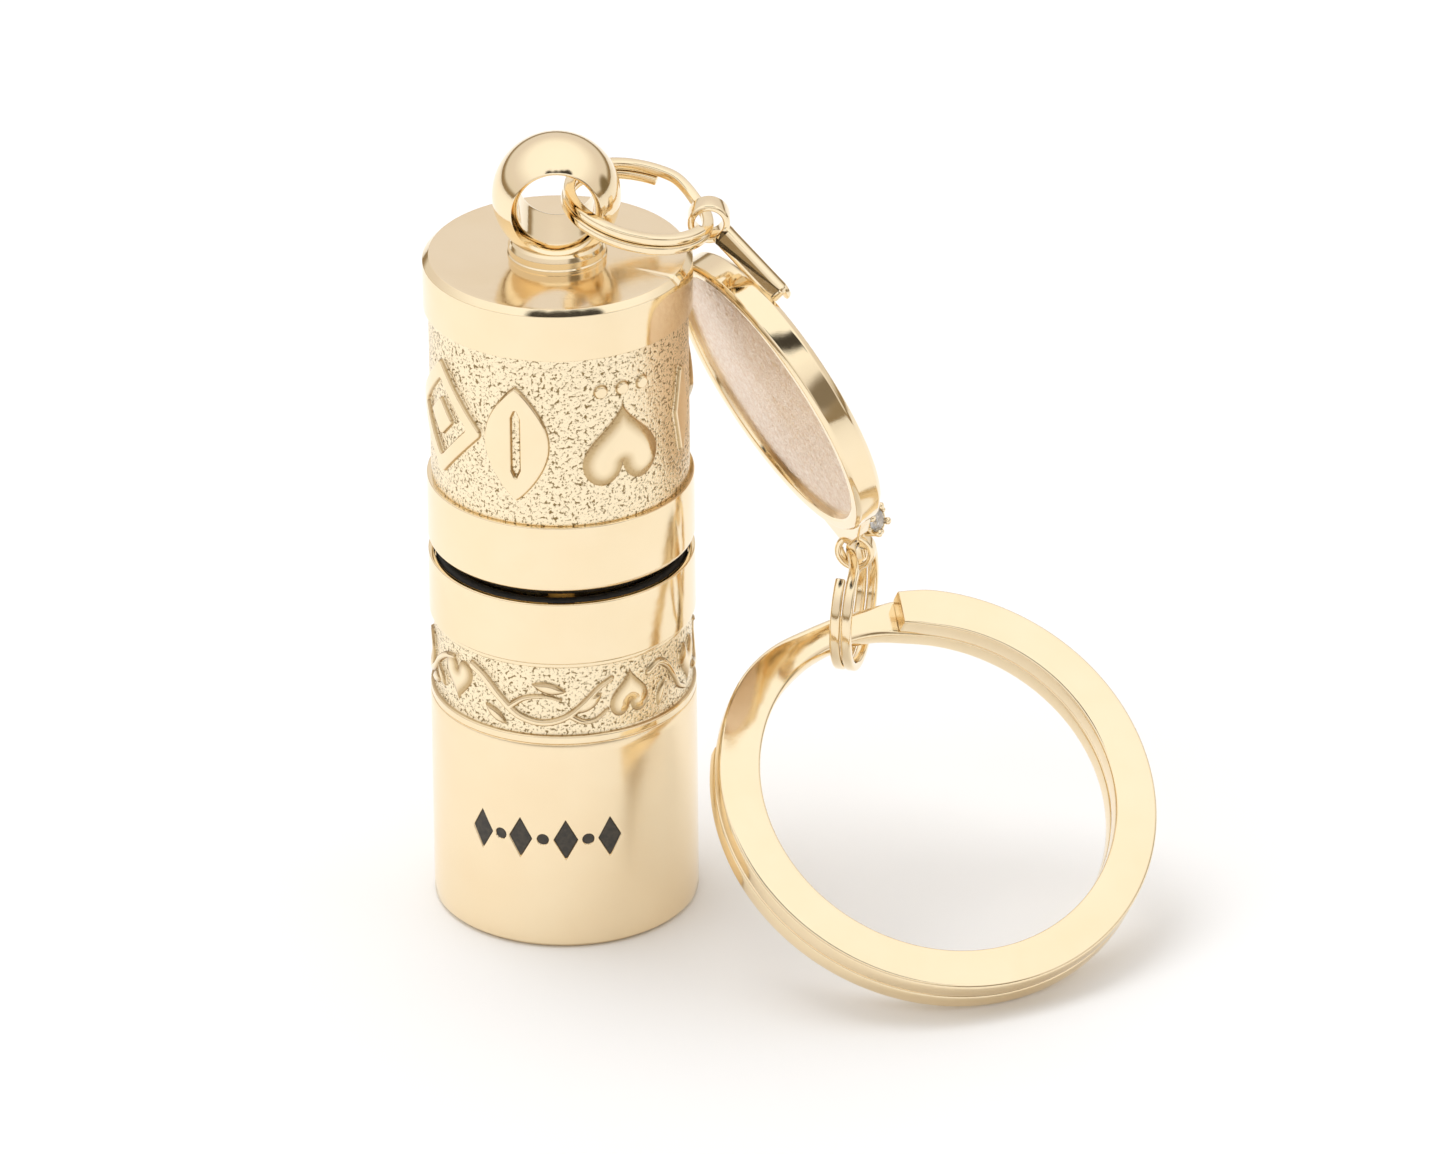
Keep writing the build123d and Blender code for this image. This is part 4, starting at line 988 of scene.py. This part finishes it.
def brilliant():
    """Faceted stone: table, crown, girdle and pavilion of eight-fold facets."""
    V, F = [], []

    def ring(r, h, off, k=8):
        s = len(V)
        for i in range(k):
            t = TAU * (i + off) / k
            V.append(setting(r * math.cos(t), r * math.sin(t), h))
        return [s + i for i in range(k)]

    table, crown, g1, g2 = ring(0.46, 0.74, 0.0), ring(0.68, 0.62, 0.5), ring(0.82, 0.47, 0.0), ring(0.82, 0.40, 0.0)
    low = ring(0.42, 0.12, 0.5)
    V.append(setting(0, 0, -0.12))
    tip = len(V) - 1
    F.append(table[::-1])
    for i in range(8):
        j = (i + 1) % 8
        F += [(table[i], table[j], crown[i]), (table[j], crown[j], crown[i]), (crown[i], crown[j], g1[j]), (g1[i], crown[i], g1[j])]
        F += [(g1[i], g1[j], g2[j], g2[i]), (g2[i], g2[j], low[i]), (g2[j], low[j], low[i]), (low[i], low[j], tip)]
    return V, F


V, F = brilliant()
# faces turned outwards
mid = np.mean(V, axis=0)
F = [f if np.dot(np.cross(V[f[1]] - V[f[0]], V[f[2]] - V[f[1]]), np.mean([V[k] for k in f], axis=0) - mid) > 0 else f[::-1] for f in F]
make("crystal_stone", V, F, M_CRYSTAL, "medallion", ("stone",), sharp=5)

# ------------------------------------------------------------------ rings
A_MID, A_T, A_G = 5.20 - 0.40, 0.68, 0.04
up, dn = (A_T + A_G) / 2, -(A_T + A_G) / 2
coil("eyelet_ring_wire", A_C, A_N, A_MID,
     [(330, up, .78, .66, 0), (60, up, .78, .66, 0), (52, up * 0.45, .78, .66, 0), (41, -up * 0.45, .78, .66, 0), (33, dn, .78, .66, 0), (-285, dn, .78, .66, 0)][::1],
     M_RING, "small_ring", ("eyelet_ring",), step=2.0, ref=(0, 1, 0), corner=0.20)
B_MID, B_T, B_G = 4.50 - 0.30, 0.72, 0.06
up, dn = (B_T + B_G) / 2, -(B_T + B_G) / 2
coil("link_ring_wire", B_C, B_N, B_MID,
     [(438, up, .59, .70, 0), (118, up, .59, .70, 0), (109, up * 0.45, .59, .70, 0), (97, -up * 0.45, .59, .70, 0), (88, dn, .59, .70, 0), (-229, dn, .59, .70, 0)],
     M_RING, "link", ("link_ring",), step=2.0, corner=0.18)
K_MID, K_T, K_G = 15.27 - 2.91 / 2, 1.42, 0.06
kf, kb = -K_T / 2, -1.5 * K_T - K_G
coil("key_ring_wire", K_C, K_N, K_MID,
     [(439.5, kf, 2.05, 1.42, 0, .22), (438.3, kf, 2.62, 1.42, 0, .22), (436.2, kf, 2.90, 1.42, 0, .22), (145, kf, 2.90, 1.42, 0, .22), (133, kf + 0.22 * (kb - kf), 2.88, 1.42, 0, .24), (118, kf + 0.62 * (kb - kf), 2.60, 1.42, -0.05, .35),
      (106, kf + 0.90 * (kb - kf), 2.15, 1.42, -0.16, .50), (86, kb, 2.20, 1.42, -0.16, .50), (78, kb, 2.90, 1.42, 0, .24), (-208, kb, 2.90, 1.42, 0, .22)],
     M_RING, "key_ring", ("key_ring",), step=0.8, corner=0.24)

# ------------------------------------------------------------------ CAD nodes that stay as they are
for node, mat in (("slotted_barrel", M_BRASS), ("upper_barrel", M_BRASS), ("vault_stem", M_BRASS), ("vine_gate_ring", M_BRASS), ("heart_gate_ring", M_BRASS),
                  ("base_screw", M_STEEL), ("upper_peg", M_STEEL), ("lower_peg", M_STEEL), ("lower_detent_ball", M_STEEL), ("upper_detent_ball", M_STEEL),
                  ("lower_detent_spring", M_STEEL), ("upper_detent_spring", M_STEEL), ("eyelet_nut", M_BRASS)):
    ob = frame["nodes"][node]
    ob.data.materials.clear()
    ob.data.materials.append(mat)
    ob.data.polygons.foreach_set("use_smooth", np.ones(len(ob.data.polygons), bool))
    ob.data.set_sharp_from_angle(angle=math.radians(32))

# ------------------------------------------------------------------ stage, light and camera
floor_z = CAD_BOX[0][2]
me = bpy.data.meshes.new("floor")
s = 1.6
me.from_pydata([(-s, -s, floor_z - 0.00002), (s, -s, floor_z - 0.00002), (s, s, floor_z - 0.00002), (-s, s, floor_z - 0.00002)], [], [(0, 1, 2, 3)])
floor = bpy.data.objects.new("floor", me)
bpy.context.scene.collection.objects.link(floor)
m, nt, bsdf = new_mat("paper_floor")
bsdf.inputs["Base Color"].default_value = (0.93, 0.93, 0.93, 1)
bsdf.inputs["Roughness"].default_value = 0.6
me.materials.append(m)

world = bpy.data.worlds.new("studio")
bpy.context.scene.world = world
world.use_nodes = True
nt = world.node_tree
nt.nodes.clear()
out = nt.nodes.new("ShaderNodeOutputWorld")
bg = nt.nodes.new("ShaderNodeBackground")
tc = nt.nodes.new("ShaderNodeTexCoord")
sep = nt.nodes.new("ShaderNodeSeparateXYZ")
nt.links.new(tc.outputs["Generated"], sep.inputs["Vector"])
# white above, a little darker and warmer low down, one dark gap overhead where the lens looks in
rp = ramp(nt, math_node(nt, "MULTIPLY_ADD", sep.outputs["Z"], 0.5, 0.5),
          [(0.0, (0.60, 0.52, 0.42)), (0.46, (0.70, 0.62, 0.50)), (0.495, (0.30, 0.22, 0.13)), (0.535, (0.34, 0.26, 0.16)), (0.575, (0.80, 0.76, 0.71)),
           (0.70, (0.84, 0.79, 0.77)), (0.76, (0.92, 0.89, 0.87)), (0.86, (1.10, 1.10, 1.10)), (1.0, (1.14, 1.14, 1.14))])


def patch(colour, direction, inner, outer, tint):
    """Lays a soft-edged card of one colour in a direction of the room."""
    dot = nt.nodes.new("ShaderNodeVectorMath")
    dot.operation = "DOT_PRODUCT"
    nt.links.new(tc.outputs["Generated"], dot.inputs[0])
    dot.inputs[1].default_value = tuple(unit(direction))
    lo, hi = math.cos(math.radians(outer)), math.cos(math.radians(inner))
    m = nt.nodes.new("ShaderNodeMapRange")
    m.interpolation_type = "SMOOTHSTEP"
    m.inputs["From Min"].default_value = lo
    m.inputs["From Max"].default_value = hi
    nt.links.new(dot.outputs["Value"], m.inputs["Value"])
    return mix_rgb(nt, m.outputs["Result"], colour, tint)


for sweep in ((-0.20, -0.44, 0.880), (0.0, -0.46, 0.887), (0.18, -0.44, 0.880), (0.34, -0.39, 0.857)):
    rp = patch(rp, sweep, 5.0, 9.0, (0.06, 0.055, 0.05))
rp = patch(rp, (0.60, -0.72, 0.34), 7.0, 17.0, (0.24, 0.20, 0.15))
rp = patch(rp, (0.70, -0.70, 0.10), 2.0, 10.0, (0.30, 0.24, 0.16))
rp = patch(rp, (0.97, 0.22, 0.10), 6.0, 16.0, (0.22, 0.17, 0.10))
nt.links.new(rp, bg.inputs["Color"])
bg.inputs["Strength"].default_value = 1.0
nt.links.new(bg.outputs["Background"], out.inputs["Surface"])


def area(name, loc, target, size, power, color=(1, 1, 1)):
    d = bpy.data.lights.new(name, "AREA")
    d.shape = "RECTANGLE"
    d.size, d.size_y = size
    d.energy = power
    d.color = color
    o = bpy.data.objects.new(name, d)
    bpy.context.scene.collection.objects.link(o)
    o.location = loc
    o.rotation_euler = (Vector(target) - Vector(loc)).to_track_quat("-Z", "Y").to_euler()
    return o


key = area("top_box", (-0.16, 0.10, 0.60), (0.01, 0.0, 0.0), (0.34, 0.34), 0.95)
fill = area("left_box", (-0.55, -0.25, 0.45), (0.0, 0.0, 0.02), (0.35, 0.40), 0.35)
for o in (key, fill):
    o.visible_glossy = False

cam = bpy.data.cameras.new("camera")
cam.sensor_fit = "HORIZONTAL"
cam.sensor_width = 36.0
cam.lens = 371.6
cam.clip_start, cam.clip_end = 0.05, 10.0
camera = bpy.data.objects.new("camera", cam)
bpy.context.scene.collection.objects.link(camera)
right, up_v, back = (0.99995, -0.00449, -0.00862), (0.00972, 0.46197, 0.88684), (0.0, -0.88688, 0.46199)
camera.matrix_world = Matrix(((right[0], up_v[0], back[0], 0.01081), (right[1], up_v[1], back[1], -0.8928), (right[2], up_v[2], back[2], 0.4886), (0, 0, 0, 1)))
bpy.context.scene.camera = camera

scene = bpy.context.scene
scene.view_settings.view_transform = "Standard"
scene.view_settings.look = "None"
scene.view_settings.exposure = 0.0
scene.view_settings.gamma = 1.0
